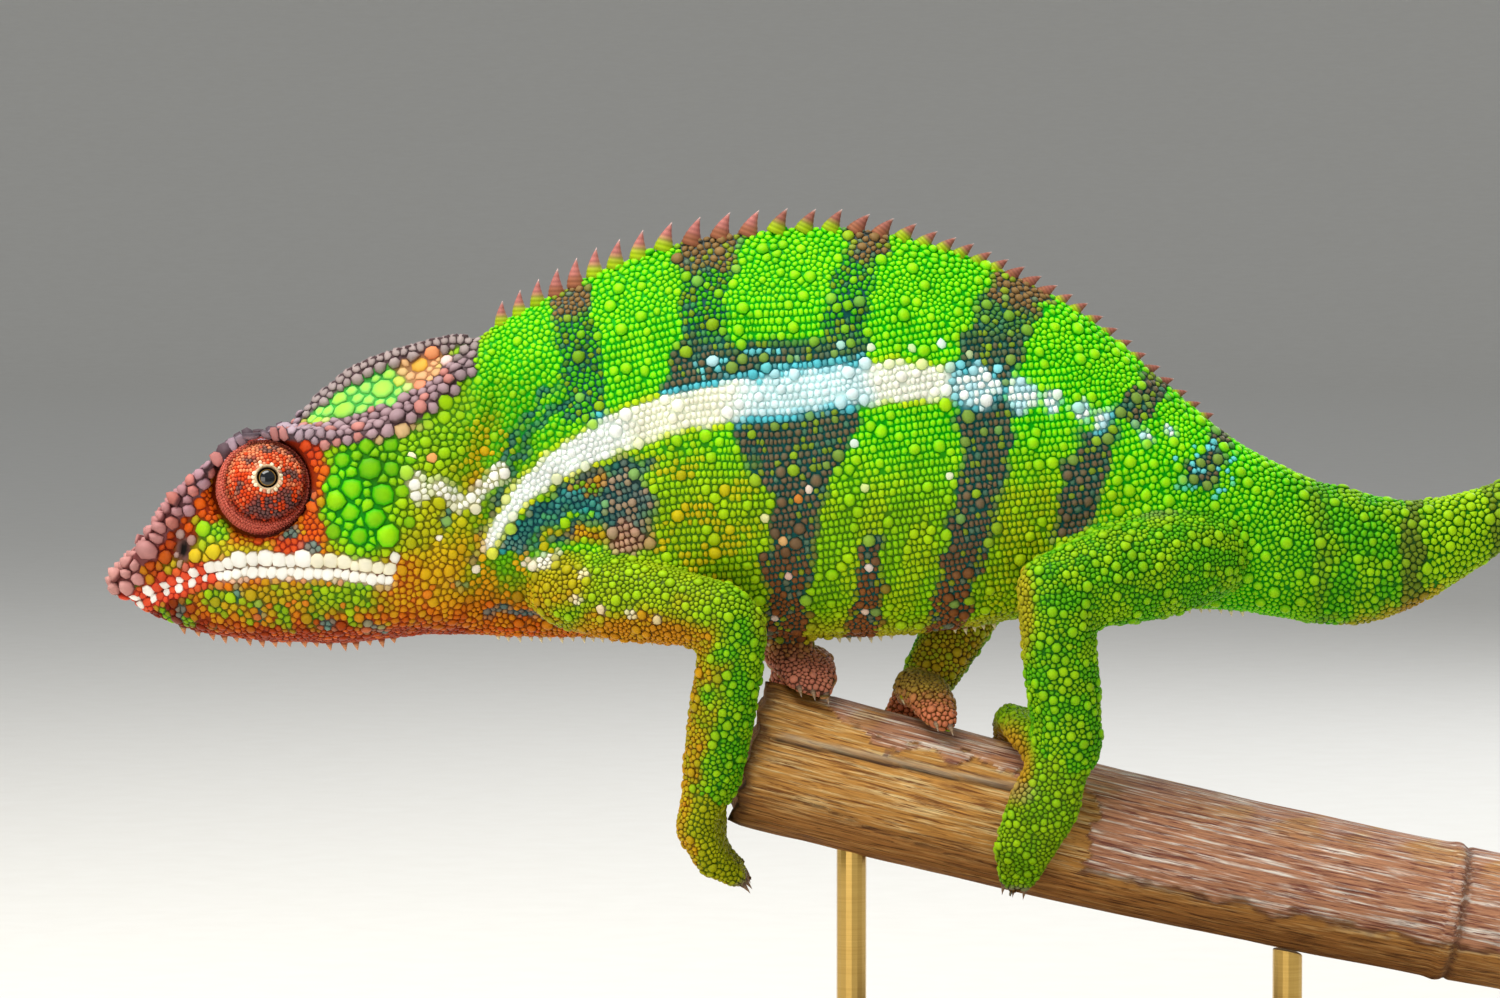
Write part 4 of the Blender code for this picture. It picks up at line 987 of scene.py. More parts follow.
def pushed_apart(surface, points, diameters, fixed, turns, rows):
    """Lets neighbours that overlap push each other aside along the surface; fixed ones stay.

    rows gives the way from each point to its row and how strictly it keeps to it.
    """
    points, faces = surface.nearest(points)
    for _ in range(turns):
        one, two = near_pairs(points, 1.02 * np.quantile(diameters, 0.999))
        apart = points[one] - points[two]
        away = np.linalg.norm(apart, axis=1)
        wanted = (diameters[one] + diameters[two]) / 2
        overlap = np.maximum(wanted - away, 0) * 0.42
        move = apart / np.maximum(away, 1e-6)[:, None] * overlap[:, None]
        total = summed(one, move, len(points)) - summed(two, move, len(points))
        total[fixed] = 0
        length = np.linalg.norm(total, axis=1)[:, None]
        total *= np.minimum(1, 0.35 * diameters[:, None] / np.maximum(length, 1e-6))
        shift, strict = rows(points, surface.group_at(faces))
        total[:, 2] += np.where(fixed, 0, 0.36 * shift * strict)
        points, faces = surface.nearest(points + total)
    return points, faces


print("helpers for laying scales are ready")

# %% [markdown]
# ## One scale
#
# Seen from above, a scale is a rounded polygon: in each direction it reaches to the line half way to its
# neighbour, nearer to the smaller of the two. Seen from the side it is a low dome, or a cone on the crests.
# Its foot is sunk a little into the skin, and its underside is closed, so that each scale is a small solid.

# %% The shape of scales
DOME = {  # rings of a scale: share of its reach, share of its height as a dome and as a cone
    "fine": [(1.0, 0.0, 0.0), (0.88, 0.50, 0.14), (0.54, 0.87, 0.50)],
    "large": [(1.0, 0.0, 0.0), (0.92, 0.40, 0.10), (0.74, 0.72, 0.30), (0.42, 0.93, 0.62)],
}
SCALE_SIDES = {"fine": 6, "large": 8}
PATCH = 0.003  # how wide a scale is on the unwrap
FREE_REACH = 0.84  # how far a scale spreads where nothing stops it, as a share of its diameter


def reaches(points, normals, diameters, sides, turn):
    """How far each scale reaches in each of its directions, and those directions."""
    ahead = unit(np.cross(normals, np.array([0.13, 0.95, 0.28])))
    across = np.cross(normals, ahead)
    angle = 2 * np.pi * np.arange(sides) / sides + turn[:, None]
    ways = np.cos(angle)[..., None] * ahead[:, None] + np.sin(angle)[..., None] * across[:, None]
    reach = np.repeat(FREE_REACH * diameters[:, None], sides, axis=1)
    one, two = near_pairs(points, 1.6 * np.quantile(diameters, 0.999))
    away = np.linalg.norm(points[one] - points[two], axis=1)
    facing = (normals[one] * normals[two]).sum(1) > 0.1
    close = facing & (away < 0.9 * (diameters[one] + diameters[two]))
    one, two = np.r_[one[close], two[close]], np.r_[two[close], one[close]]
    apart = points[two] - points[one]
    square = (apart ** 2).sum(1)
    middle = (square + (diameters[one] ** 2 - diameters[two] ** 2) / 4) / 2
    middle = np.clip(middle, 0.2 * square, 0.8 * square)
    for k in range(sides):
        toward = (apart * ways[one, k]).sum(1)
        limit = np.where(toward > 1e-6, middle / np.maximum(toward, 1e-6), np.inf)
        np.minimum.at(reach[:, k], one, limit)
    return reach, ways


def tipped(rings, sides):
    """The faces of rings stacked up to one point: quads, the triangles at the tip and the foot."""
    last = (rings - 1) * sides
    tips = [(last + k, last + (k + 1) % sides, last + sides) for k in range(sides)]
    return face_corners(grid_quads(rings, sides), *tips, range(sides)[::-1])


def repeated(faces, count, size):
    """The same faces for this many solids of this many points each."""
    corners, starts = faces
    step = np.arange(count)[:, None]
    return (corners + step * size).ravel(), (starts + step * len(corners)).ravel()


def scale_solids(kind, roots, normals, reach, ways, heights, cone, lean, unwrap):
    """The points, faces, rises and unwrap of many scales of one kind."""
    rings, sides = DOME[kind], ways.shape[1]
    count, size = len(roots), len(rings) * sides + 1
    sink = 0.10 + 0.10 * reach.mean(1)
    points, rise, flat = np.zeros((count, size, 3)), np.zeros((count, size)), np.zeros((count, size, 2))
    angle = 2 * np.pi * np.arange(sides) / sides
    for r, (share, dome, point) in enumerate(rings):
        part = slice(r * sides, (r + 1) * sides)
        up = (dome * (1 - cone) + point * cone) * heights - (sink if r == 0 else 0)
        out = share * 0.975 * reach
        points[:, part] = roots[:, None] + ways * out[..., None] + (normals * up[:, None])[:, None]
        points[:, part] += (lean * dome)[:, None]
        rise[:, part] = dome
        flat[:, part] = share * 0.5 * PATCH * np.c_[np.cos(angle), np.sin(angle)]
    points[:, -1] = roots + normals * heights[:, None] + lean
    rise[:, -1] = 1.0
    faces = tipped(len(rings), sides)
    patches = (unwrap[:, None] + flat)[:, faces[0]].reshape(-1, 2)
    return points.reshape(-1, 3), *repeated(faces, count, size), rise.ravel(), patches


def add_scales(name, material, slot, batches, replaced=()):
    """Joins batches into one piece; a batch is solids of scales, and a tone and a seam for each scale."""
    columns, base, first = [], 0, 0
    for (points, corners, starts, rises, patches), *colours in batches:
        tone, seam = (np.repeat(colour, len(points) // max(len(colour), 1), axis=0) for colour in colours)
        columns.append((points, corners + base, starts + first, rises, patches, tone, seam))
        base, first = base + len(points), first + len(corners)
    points, corners, starts, rises, patches, tone, seam = map(np.concatenate, zip(*columns))
    piece = add_mesh(name, points, (corners, starts), material,
                     {"tone": tone, "seam": seam, "crown": tip_tint_with_painted_highlight(tone)}, {"rise": rises}, patches)
    return belongs(piece, slot, *replaced)


print("a fine scale has", 5 * 6 + 4, "triangles and a large one", 7 * 8 + 6)

# %% [markdown]
# ## Sizes of the scales
#
# The scales of the trunk are about 1.3 mm across, with a few of twice that among them. The legs have more
# of the large ones, the cheek has plates of 3 to 5 mm, and the scales are finest round the eye, under the
# throat and on the toes. A table gives both sizes and how much of the area the large ones cover.

# %% Scale sizes in millimetres
SCALE_SIZES = {  # everyday, large, share of the area under large ones, height as a share of the diameter
    "head": (1.15, 1.7, 0.22, 0.30),
    "neck": (0.98, 1.8, 0.08, 0.38),
    "trunk": (0.94, 1.8, 0.17, 0.43),
    "tail": (1.04, 1.6, 0.14, 0.38),
    "arm": (0.78, 1.45, 0.30, 0.42),
    "hand": (0.76, 1.2, 0.24, 0.40),
    "leg": (0.80, 1.5, 0.30, 0.42),
    "foot": (0.78, 1.25, 0.24, 0.40),
    "crest": (1.75, 2.1, 0.50, 0.40),
}
CREST_SIZES = [(0, 1.9), (6, 2.3), (14, 2.2), (20, 1.7), (32, 1.6), (38, 1.8), (48, 2.1), (58, 2.0),
               (64, 1.8)]
HEAD_SIZES = [  # along, height, reach along, reach up, everyday, large, share
    (44.8, 25.5, 7.0, 10.0, 1.70, 3.4, 0.60),
    (45.0, 42.0, 12.0, 7.0, 2.30, 3.2, 0.50),
    (55.5, 46.0, 6.0, 4.5, 1.90, 2.6, 0.50),
    (16.0, 20.0, 5.0, 6.0, 1.70, 2.3, 0.60),
    (10.0, 13.0, 4.0, 4.0, 1.60, 2.1, 0.50),
    (26.6, 25.7, 10.6, 10.6, 0.95, 1.3, 0.10),
    (60.0, 42.0, 6.0, 12.0, 1.10, 1.9, 0.15),
]


def scale_sizes(p, group):
    table = np.array([SCALE_SIZES[name] for name in GROUP_NAMES])[group]
    sizes = table[:, :3].copy()
    head = is_in(group, "head")
    for a, h, long, tall, *wanted in HEAD_SIZES:
        mark = cover(in_spot(p[:, 0], p[:, 2], (a, h, long, tall)), 0.8) * head
        sizes = mix(sizes, np.array(wanted), mark)
    crest = is_in(group, "crest")
    sizes[crest, :2] = np.interp(p[crest, 0], *zip(*CREST_SIZES))[:, None] * np.array([0.95, 1.1])
    from_ridge = np.interp(p[:, 0], *zip(*RIDGE)) - p[:, 2]
    sizes[:, 0] *= 1 + 0.35 * ease(from_ridge, 6, 2) * is_in(group, "trunk")
    thin_tail = ease(p[:, 0], 235, 285) * is_in(group, "tail")
    low = ease(p[:, 2], 6, 0) * is_in(group, "head", "neck", "trunk")
    sizes[:, :2] *= (1 - 0.3 * thin_tail - 0.12 * low)[:, None]
    return sizes, table[:, 3]


EYE_AT = (27.2, 26.1, 6.9)  # along, height and side of the middle of the eye's turret
EYE_RADIUS = 8.0
EYE_LOOK = (0.155, 0.27, 1.0)  # along, up and outward


def eye_frame(side):
    """The middle of a turret, the way the eye looks, and two ways across it."""
    middle = Vector((EYE_AT[0], side * EYE_AT[2], EYE_AT[1]))
    axis = Vector((EYE_LOOK[0], side * EYE_LOOK[2], EYE_LOOK[1])).normalized()
    ahead = axis.cross(Vector((0, 0, 1))).normalized()
    return [np.array(v) for v in (middle, axis, ahead, axis.cross(ahead))]


def from_eye(points, side):
    """The way of points along the eye's axis, their offset across it and their distance from it."""
    middle, axis, _, _ = eye_frame(side)
    way = (points - middle) @ axis
    offset = points - middle - way[:, None] * axis
    return way, offset, np.linalg.norm(offset, axis=1)


def in_socket(points):
    """Whether a point lies where an eye's turret comes out of the head."""
    inside = np.zeros(len(points), bool)
    for side in (-1, 1):
        way, _, away = from_eye(points, side)
        inside |= (away < EYE_RADIUS + 0.45) & (way > -4)
    return inside


def near_mouth(points, group, room):
    return (np.abs(stroke(points[:, 0], points[:, 2], MOUTH)) < room) & is_in(group, "head")


print("the turrets are", 2 * EYE_RADIUS, "mm across")

# %% [markdown]
# ## The coat of the body
#
# Some scales have a place of their own: the white plates along the lips and the big round plates of the
# cheek. They are set first, on both sides of the head, and the others fill in round them.

# %% Plates with a place of their own
CHEEK_PLATES = [  # along, height, diameter
    (45.3, 29.4, 4.3), (42.3, 26.0, 3.9), (47.4, 25.1, 4.1), (42.0, 22.1, 3.4), (46.2, 21.0, 4.1),
    (43.5, 18.2, 3.3), (39.2, 18.9, 2.8), (48.8, 29.3, 2.9), (40.6, 30.8, 2.8), (51.8, 20.5, 2.2),
    (39.3, 27.2, 2.4), (44.6, 33.0, 2.9), (48.6, 33.2, 2.7), (52.0, 31.0, 2.2), (50.6, 25.6, 2.4),
]
LIP_FROM, LIP_BACK = 4.0, 48.6
PLATE_GAP = 0.80  # lip plates touch: their pitch as a share of their diameter
LIP_OVERLAP = 0.22  # and they run into each other along the lip, so that only a shallow seam parts them
LIPS = (1, 1.60, 2.75), (-1, 1.40, 1.95)  # above or below the mouth, least and greatest diameter
BROW_BEAD, BROW_PITCH, CROWN_BEAD, CROWN_PITCH = 1.75, 1.42, 1.5, 1.36
BEADS = [  # along, height, diameter, colour: pale and orange tubercles that stand alone
    (49.4, 14.7, 1.9, "#F2EDDC"), (62.7, 12.5, 1.6, "#EFE3C8"), (56.7, 17.8, 1.1, "#F0E8D0"),
    (55.5, 31.1, 1.8, "#E8A05A"), (52.1, 31.3, 1.6, "#EDE6B8"), (51.8, 20.5, 1.8, "#E6C84A"),
    (57.6, 47.0, 2.4, "#E8C4BC"), (55.2, 48.4, 2.6, "#DE8A5A"), (53.0, 46.2, 3.0, "#E0A63C"),
    (53.2, 43.0, 2.4, "#DE8A66"), (49.4, 43.6, 2.4, "#B8C84A"), (102.2, 47.2, 2.2, "#A8D8E0"),
    (123.5, 49.9, 1.6, "#9CCFC0"), (128.5, 49.4, 1.5, "#D6ECC0"), (135.4, 49.3, 1.5, "#C2E89A"),
    (140.2, 50.1, 1.6, "#CFEED8"), (144.9, 48.4, 1.4, "#A9C08A"), (143.4, 46.6, 1.7, "#6CC8D2"),
    (149.6, 45.9, 1.7, "#7AD2DC"), (125.7, 33.7, 1.6, "#D2E8D8"), (118.2, 26.1, 1.5, "#E2CDB8"),
    (116.4, 24.5, 1.6, "#C87A30"), (113.9, 17.4, 1.6, "#D8A468"), (114.8, 11.4, 1.4, "#D8B0A0"),
    (128.2, 13.0, 1.6, "#E0D0C4"), (127.7, 5.3, 1.5, "#D8B8A4"), (112.5, 4.2, 1.4, "#D8C0B0"),
    (110.9, 21.3, 1.6, "#E6E49A"), (127.5, 26.3, 1.5, "#D2E48A"), (141.6, 28.2, 1.3, "#E2ECC0"),
]


def lip_rows():
    """Along, height and diameter of the plates of both lips, from the snout to the corner of the mouth."""
    rows = []
    line_along, line_height = zip(*MOUTH)
    for way, small, big in LIPS:
        along = LIP_FROM
        while along < LIP_BACK:
            size = small + (big - small) * float(ease(along, 14, 26)) * float(ease(along, 46, 36) * 0.4 + 0.6)
            size *= 1 + 0.14 * math.sin(2.4 * len(rows)) + 0.07 * math.sin(5.1 * len(rows))
            height = float(np.interp(along, line_along, line_height)) + way * (0.08 + 0.44 * size)
            rows.append((along, height, size))
            along += size * PLATE_GAP
    return rows


def top_at(along, chosen):
    """The height of the highest chosen point of the skin at this place along the animal."""
    return skin_points[chosen & (np.abs(skin_points[:, 0] - along) < 0.7), 2].max()


def brow_places():
    """A row of beads along the top of the ridge over each eye, for both sides of the head."""
    places = []
    for side in (-1, 1):
        for along in np.arange(13.6, 37.0, BROW_PITCH):
            height = top_at(along, skin_points[:, 1] * side > 1.5) - 0.6
            places.append(SKIN.from_side(along, height, side))
    return [place for place in places if place is not None]


def crown_places():
    """Two rows of beads along the top of the middle crest, set in turn."""
    places = []
    for along in np.arange(34.0, 63.6, CROWN_PITCH):
        top = top_at(along, np.abs(skin_points[:, 1]) < 1.6)
        places += [(along, -0.72, top), (along + CROWN_PITCH / 2, 0.72, top)]
    return SKIN.nearest(np.array(places))[0]


def placed(surface, spots):
    """Puts each (along, height, diameter) on both flanks of a surface."""
    found = [(surface.from_side(spot[0], spot[1], side), spot) for side in (-1, 1) for spot in spots]
    found = [(place, spot) for place, spot in found if place is not None]
    return np.array([place for place, _ in found]), [spot for _, spot in found]


print(len(lip_rows()), "lip plates on each side")

# %% Unwrap of the skin
def unwrap(piece):
    """Unwraps the skin's own shape into islands and gives the middle of each of its faces there."""
    layer = piece.data.uv_layers.new(name="OFBake")
    bpy.context.view_layer.objects.active = piece
    piece.select_set(True)
    bpy.ops.object.mode_set(mode="EDIT")
    bpy.ops.mesh.select_all(action="SELECT")
    bpy.ops.uv.smart_project(angle_limit=math.radians(66), island_margin=0.003)
    bpy.ops.object.mode_set(mode="OBJECT")
    piece.select_set(False)
    flat = np.zeros(2 * len(piece.data.loops))
    piece.data.uv_layers["OFBake"].uv.foreach_get("vector", flat)
    return flat.reshape(-1, 4, 2).mean(1)


skin_unwrap = unwrap(skin)
SKIN = Surface(skin_points, skin_triangles, skin_group, np.r_[skin_unwrap, skin_unwrap])
print("the islands of the skin cover", len(skin_unwrap), "faces")

# %% [markdown]
# The laying itself: first the plates with a place of their own, then the large scales, then more and more
# small ones until there is no room left. On the flanks the small scales stand in rows, which run along the
# body and rise a little towards the tail.

# %% Rows of the flank
ROW_PITCH = 1.24
LARGE_SPREAD, FINE_SPREAD = 0.24, 0.15  # of their diameters, as a share
LARGE_TRIES, FINE_TRIES = 1.7, 6.0  # places tried for each scale that there is area for
GAP_TRIES = 60000
MOUTH_ROOM = 0.4  # mm that scales keep from the line between the lips


def row_shift(p, group):
    """How far up each point would have to move to stand on its row, and how strictly it does."""
    level = p[:, 2] - 0.15 * (p[:, 0] - 100) - 0.6 * np.sin(p[:, 0] / 7.0) - 0.5 * drift(p, 30, 51)
    shift = (np.round(level / ROW_PITCH) - level / ROW_PITCH) * ROW_PITCH
    from_ridge = np.interp(p[:, 0], *zip(*RIDGE)) - p[:, 2]
    flank = ease(from_ridge, 8, 16) * ease(p[:, 2], 3, 8) * ease(p[:, 0], 78, 90) * ease(p[:, 0], 182, 170)
    return shift, flank * is_in(group, "trunk")

# %% Lay the coat
TURNS = 9
draw = np.random.default_rng(20)
triangle_part = skin_part[skin_triangles[:, 0]]
middles = skin_points[skin_triangles].mean(1)
triangle_sizes, _ = scale_sizes(middles, part_group[triangle_part])
lips, lip_spots = placed(SKIN, lip_rows())
cheeks, cheek_spots = placed(SKIN, CHEEK_PLATES)
beads, bead_spots = placed(SKIN, BEADS)
brows, crown_beads = np.array(brow_places()), crown_places()
own = np.concatenate([lips, cheeks, beads, brows, crown_beads])
own_sizes = np.r_[[spot[2] for spot in lip_spots + cheek_spots + bead_spots], np.full(len(brows), BROW_BEAD),
                  np.full(len(crown_beads), CROWN_BEAD)]


def is_barred(p, group, room=MOUTH_ROOM):
    return in_socket(p) | near_mouth(p, group, room)


def laid_out():
    """Places and diameters of the first scales of the body, and how many there are of each kind."""
    fine, large, share = triangle_sizes.T
    sets = [(own, own_sizes)]
    for size, wanted, tries, spread in ((large, share / large ** 2, LARGE_TRIES, LARGE_SPREAD),
                                        (fine, 1 / fine ** 2, FINE_TRIES, FINE_SPREAD)):
        amount = int((SKIN.area * wanted).sum() * tries)
        p, faces = SKIN.scattered(amount, wanted, draw)
        if size is fine:
            shift, strict = row_shift(p, SKIN.group_at(faces))
            p[:, 2] += shift * (strict > 0.5)
        diameters = size[faces] * draw.normal(1, spread, amount).clip(0.72, 1.32)
        keep = ~is_barred(p, SKIN.group_at(faces))
        p, diameters = p[keep], diameters[keep]
        for there, sizes in sets:
            clear = clear_of(p, there, 0.42 * (sizes + np.quantile(diameters, 0.5)))
            p, diameters = p[clear], diameters[clear]
        kept = thinned(p, diameters, draw.permutation(len(p)).astype(float))
        sets.append((p[kept], diameters[kept]))
    places, diameters = zip(*sets)
    return np.concatenate(places), np.concatenate(diameters), [len(p) for p in places]


def gap_scales():
    """Small scales for the gaps between those that are there."""
    p, faces = SKIN.scattered(GAP_TRIES, 1 / triangle_sizes[:, 0] ** 2, draw)
    widths = triangle_sizes[faces, 0] * draw.uniform(0.72, 0.92, len(p))
    free = clear_of(p, scale_points, 0.40 * scale_widths + 0.36) & ~is_barred(p, SKIN.group_at(faces))
    p, widths = p[free], widths[free]
    kept = thinned(p, widths, draw.permutation(len(p)).astype(float))
    print(kept.sum(), "more small scales fill the gaps")
    return p[kept], widths[kept]


scale_points, scale_widths, scale_counts = laid_out()
own_count = scale_counts[0]
fixed = np.arange(len(scale_points)) < own_count
scale_points, scale_faces = pushed_apart(SKIN, scale_points, scale_widths, fixed, 3, row_shift)
more, more_widths = gap_scales()
scale_points, scale_widths = np.r_[scale_points, more], np.r_[scale_widths, more_widths]
fixed = np.arange(len(scale_points)) < own_count
scale_points, scale_faces = pushed_apart(SKIN, scale_points, scale_widths, fixed, TURNS, row_shift)
scale_group = SKIN.group_at(scale_faces)
flatness = (unit(SKIN.flat_normals[scale_faces]) * SKIN.normal_at(scale_faces)).sum(1)
on_tip = flatness < 0.75  # no scale sits astride a sharp tip
nostril = nostril_away(scale_points, 1.5) < 1.15
lost = (is_barred(scale_points, scale_group, 0.3) | nostril | on_tip) & ~fixed
is_large = np.arange(len(scale_points)) < own_count + scale_counts[1]
scale_points, scale_widths, scale_faces, scale_group, is_large, fixed = (
    values[~lost] for values in (scale_points, scale_widths, scale_faces, scale_group, is_large, fixed))
scale_normals = SKIN.normal_at(scale_faces)
scale_part = triangle_part[scale_faces]
print("own, large and fine scales:", scale_counts, "left after laying:", len(scale_points))

# %% [markdown]
# Each scale now gets its colour, its height and its outline. The tips of large scales are a little more
# yellow. On the snout the scales of the crests are cones that lean forward.

# %% Colour the coat
grain = draw.random(len(scale_points))
scale_tone, scale_seam = paint(scale_points, scale_part, grain, scale_normals)
along, side, height = scale_points.T
shimmer = 1 + 0.22 * (draw.random((len(scale_points), 1)) - 0.5)
scale_tone = np.clip(scale_tone * shimmer, 0, 1)
cheek_range = slice(len(lips), len(lips) + len(cheeks))
scale_tone[cheek_range] = mix(scale_tone[cheek_range], "#2CAC06", 0.5)
golden_tip = is_large & ~fixed & (scale_tone[:, 1] > 1.2 * scale_tone[:, 0]) & (scale_tone[:, 2] < 0.3)
scale_tone = mix(scale_tone, "#A4DC10", 0.28 * golden_tip)
scale_seam = mix(scale_tone * 0.25, scale_seam, 0.8)
is_lip = np.arange(len(fixed)) < len(lips)
pearly = is_lip & ((along > 19.5) | (np.arange(len(fixed)) % 2 == 0))
scale_tone = mix(scale_tone, "#F6F3E8", 0.95 * pearly)
scale_seam = mix(scale_seam, "#DCD4BE", 0.95 * pearly)
creamy = pearly & (height > 12) & (along > 35)
bead_range = slice(len(lips) + len(cheeks), len(lips) + len(cheeks) + len(beads))
scale_tone[bead_range] = [linear(spot[3]) for spot in bead_spots]
scale_seam[bead_range] = mix(scale_seam[bead_range], scale_tone[bead_range], 0.3)
scale_tone = mix(scale_tone, "#EEE29A", 0.4 * creamy)
scale_seam = mix(scale_seam, "#C2B23A", 0.8 * creamy)

# %% Shape the coat
_, scale_rise = scale_sizes(scale_points, scale_group)
scale_heights = scale_widths * scale_rise * np.where(is_large, 0.88, 1.0)
scale_heights *= 1 - 0.30 * (fixed & ~is_lip) - (0.15 + 0.3 * (scale_widths > 1.9)) * is_lip
on_snout = is_in(scale_group, "crest") * ease(along, 20, 13)
scale_heights *= 1 + 0.55 * on_snout
scale_cone = 0.62 * on_snout
scale_lean = on_snout[:, None] * scale_widths[:, None] * np.array([-0.22, 0.0, 0.18])
roof = is_in(scale_group, "head") & (height > 36) & (along > 33)
scale_heights *= 1 - 0.45 * roof
room_at_nostril = np.maximum(nostril_away(scale_points, 1.5) - 0.75, 0.3)
room_at_nostril = np.where(is_in(scale_group, "head"), room_at_nostril, 9.0)
outlines = {}
for kind, sides in SCALE_SIDES.items():
    turn = draw.random(len(scale_points)) * 2 * np.pi
    reach, ways = reaches(scale_points, scale_normals, scale_widths, sides, turn)
    reach[is_lip] *= 1 + LIP_OVERLAP * ways[is_lip, :, 0] ** 2
    outlines[kind] = np.minimum(reach, room_at_nostril[:, None]), ways
HORN = scaly("dull keratin of crests", 0.80, 0.48)
COAT = {  # piece: how the names of the solids start whose scales it holds
    "head": ("head", "lower_jaw"), "crests": ("crest_",), "neck": ("neck",), "chest": ("chest",),
    "belly_left": ("belly",), "belly_right": ("belly",), "pelvis": ("pelvis",), "tail": ("tail_",),
}
for pair, words in (("front", ("upper_arm", "forearm", "hand_outer", "hand_inner")),
                    ("rear", ("thigh", "shin", "foot_outer", "foot_inner"))):
    for flank in ("left", "right"):
        COAT[f"{pair}_{flank}"] = tuple(f"{word}_{pair}_{flank}" for word in words)


def coat_piece(name, starts_with):
    """One piece of the coat, which is a single solid mesh for each region."""
    members = [k for k, part in enumerate(COVERED) if part.startswith(starts_with)]
    inside = np.isin(scale_part, members)
    if name.startswith("belly"):
        inside &= (side < 0) == name.endswith("left")
    batches = []
    for kind, chosen in (("fine", inside & ~is_large), ("large", inside & is_large)):
        shapes = (scale_points, scale_normals, *outlines[kind], scale_heights, scale_cone, scale_lean)
        solids = scale_solids(kind, *(values[chosen] for values in shapes), SKIN.unwrap[scale_faces[chosen]])
        batches.append((solids, scale_tone[chosen], scale_seam[chosen]))
    slot, material, replaced = ("crest", HORN, CRESTS) if name == "crests" else ("skin", KERATIN, ())
    return add_scales(f"scales_{name}", material, slot, batches, replaced)


for name, starts_with in COAT.items():
    coat_piece(name, starts_with)

# %% [markdown]
# ## Eyes
#
# A chameleon's lids are fused into a turning cone, with a round opening no wider than the pupil. The cone
# is turned on a lathe round the way the eye looks, with its rings of folds as dips in the profile. Granules
# of about 0.6 mm lie on it in rings, cream-coloured round the opening.

# %% Turning round the eye's axis
AROUND, BALL_AROUND = 96, 48  # points round a turret and round an eyeball
SIDES = {-1: "left", 1: "right"}
OPENING = 1.8  # radius of the opening between the lids
TURRET_COAT = 0.22
GRANULE_RISE = 0.42  # their height as a share of their diameter
GRANULE_SIZES = (0.3, 0.9, 1.05, 1.6), (0.64, 0.74, 0.50, 0.50)  # angle from the eye's axis, diameter
EYE_FOLDS = [  # radius of a ring-shaped fold, its depth and half its width
    (7.74, 0.22, 0.07), (7.46, 0.30, 0.10), (7.12, 0.28, 0.10), (6.70, 0.75, 0.24), (6.15, 0.35, 0.18),
    (5.3, 0.14, 0.2), (4.3, 0.08, 0.2), (2.85, 0.14, 0.2),
]
MOTTLES = [  # grey clouds on the turret: how far behind and above the eye's axis, half length, half height
    (4.0, 0.6, 2.4, 1.1), (0.6, 5.0, 2.0, 1.2), (4.4, 4.0, 1.5, 1.0), (0.5, -4.4, 3.2, 2.0),
    (4.2, -3.2, 1.8, 1.6), (-3.0, 3.0, 1.2, 0.9), (-4.6, -1.2, 0.9, 1.3), (2.4, -1.9, 0.9, 1.1),
    (-2.6, -4.8, 1.2, 0.9),
]


def lathe(side, profile, around=AROUND):
    """Points of a net turned round the eye's axis, from (radius, way along the axis)."""
    middle, axis, ahead, across = eye_frame(side)
    angle = 2 * np.pi * np.arange(around) / around * side
    ring = np.cos(angle)[:, None] * ahead + np.sin(angle)[:, None] * across
    return np.concatenate([middle + axis * way + radius * ring for radius, way in profile])


def turret_profile():
    """From the floor of the opening, over its rim, and down the outside of the cone."""
    r = EYE_RADIUS - TURRET_COAT
    rim = [(0.05, 6.72), (1.62, 6.72), (1.72, 7.2), (OPENING, 7.62), (1.92, 7.80), (2.15, 7.76)]
    body = []
    for t in np.radians(np.arange(17.5, 90.1, 1.5)):
        radius = r * math.sin(t)
        dip = sum(deep * bell(radius - at, wide) for at, deep, wide in EYE_FOLDS)
        body.append(((r - dip) * math.sin(t), (r - dip) * math.cos(t)))
    return rim + body + [(r, -0.7), (r, -1.4), (r * 0.97, -2.0), (0.3, -2.1)]


def net_of(side, profile, around):
    """A closed net turned round the eye's axis: its points, its quads and its faces."""
    quads = grid_quads(len(profile), around)
    ends = np.arange(around)[::-1], np.arange(around) + (len(profile) - 1) * around
    return lathe(side, profile, around), quads, face_corners(quads, *ends)


def paint_turret(points, side, grain):
    """Red-orange granules with grey mottles and cream ones round the opening; painted light above, painted
    shade below and in the folds.
    """
    _, offset, radius = from_eye(points, side)
    lift = offset[:, 2]
    # The tone grows paler towards the top of the turret and the seams darker towards its bottom: painted
    # light and shade.
    coat = Layers(mix("#DE4416", "#F49464", ease(grain + 0.07 * lift, 0.2, 1.1)),
                  mix("#9A2A14", "#5A120A", ease(lift, 1, -4)), len(points))
    mottle = np.max([cover(in_spot(offset[:, 0], lift, spot), 0.7) for spot in MOTTLES], axis=0)
    speckled = drift(points * np.array([1, side, 1]), 2.2, 41) + 1.5 * (grain - 0.5)
    mottle = mottle * ease(speckled, -0.7, 0.1) * ease(radius, 7.1, 6.6)
    coat.lay(mottle, "#4E4446", "#241C1E", 0.9)
    coat.lay(ease(radius, 6.6, 7.0), "#D66C5C", "#AE443A", 0.85)
    coat.lay(ease(radius - 0.9 * (grain - 0.5), 2.7, 2.25), "#F8E8C4", "#C09A70")
    # Each fold's groove is painted darker, the deeper the fold the darker: painted shade.
    for at, deep, wide in EYE_FOLDS[:5]:
        coat.lay(bell(radius - at, wide) * min(1, 0.35 + deep), "#5A1812", "#3A0E08", 0.7)
    coat.lay(ease(radius, 1.85, 1.75), "#1C1412", "#1C1412")
    return coat.tone, coat.seam


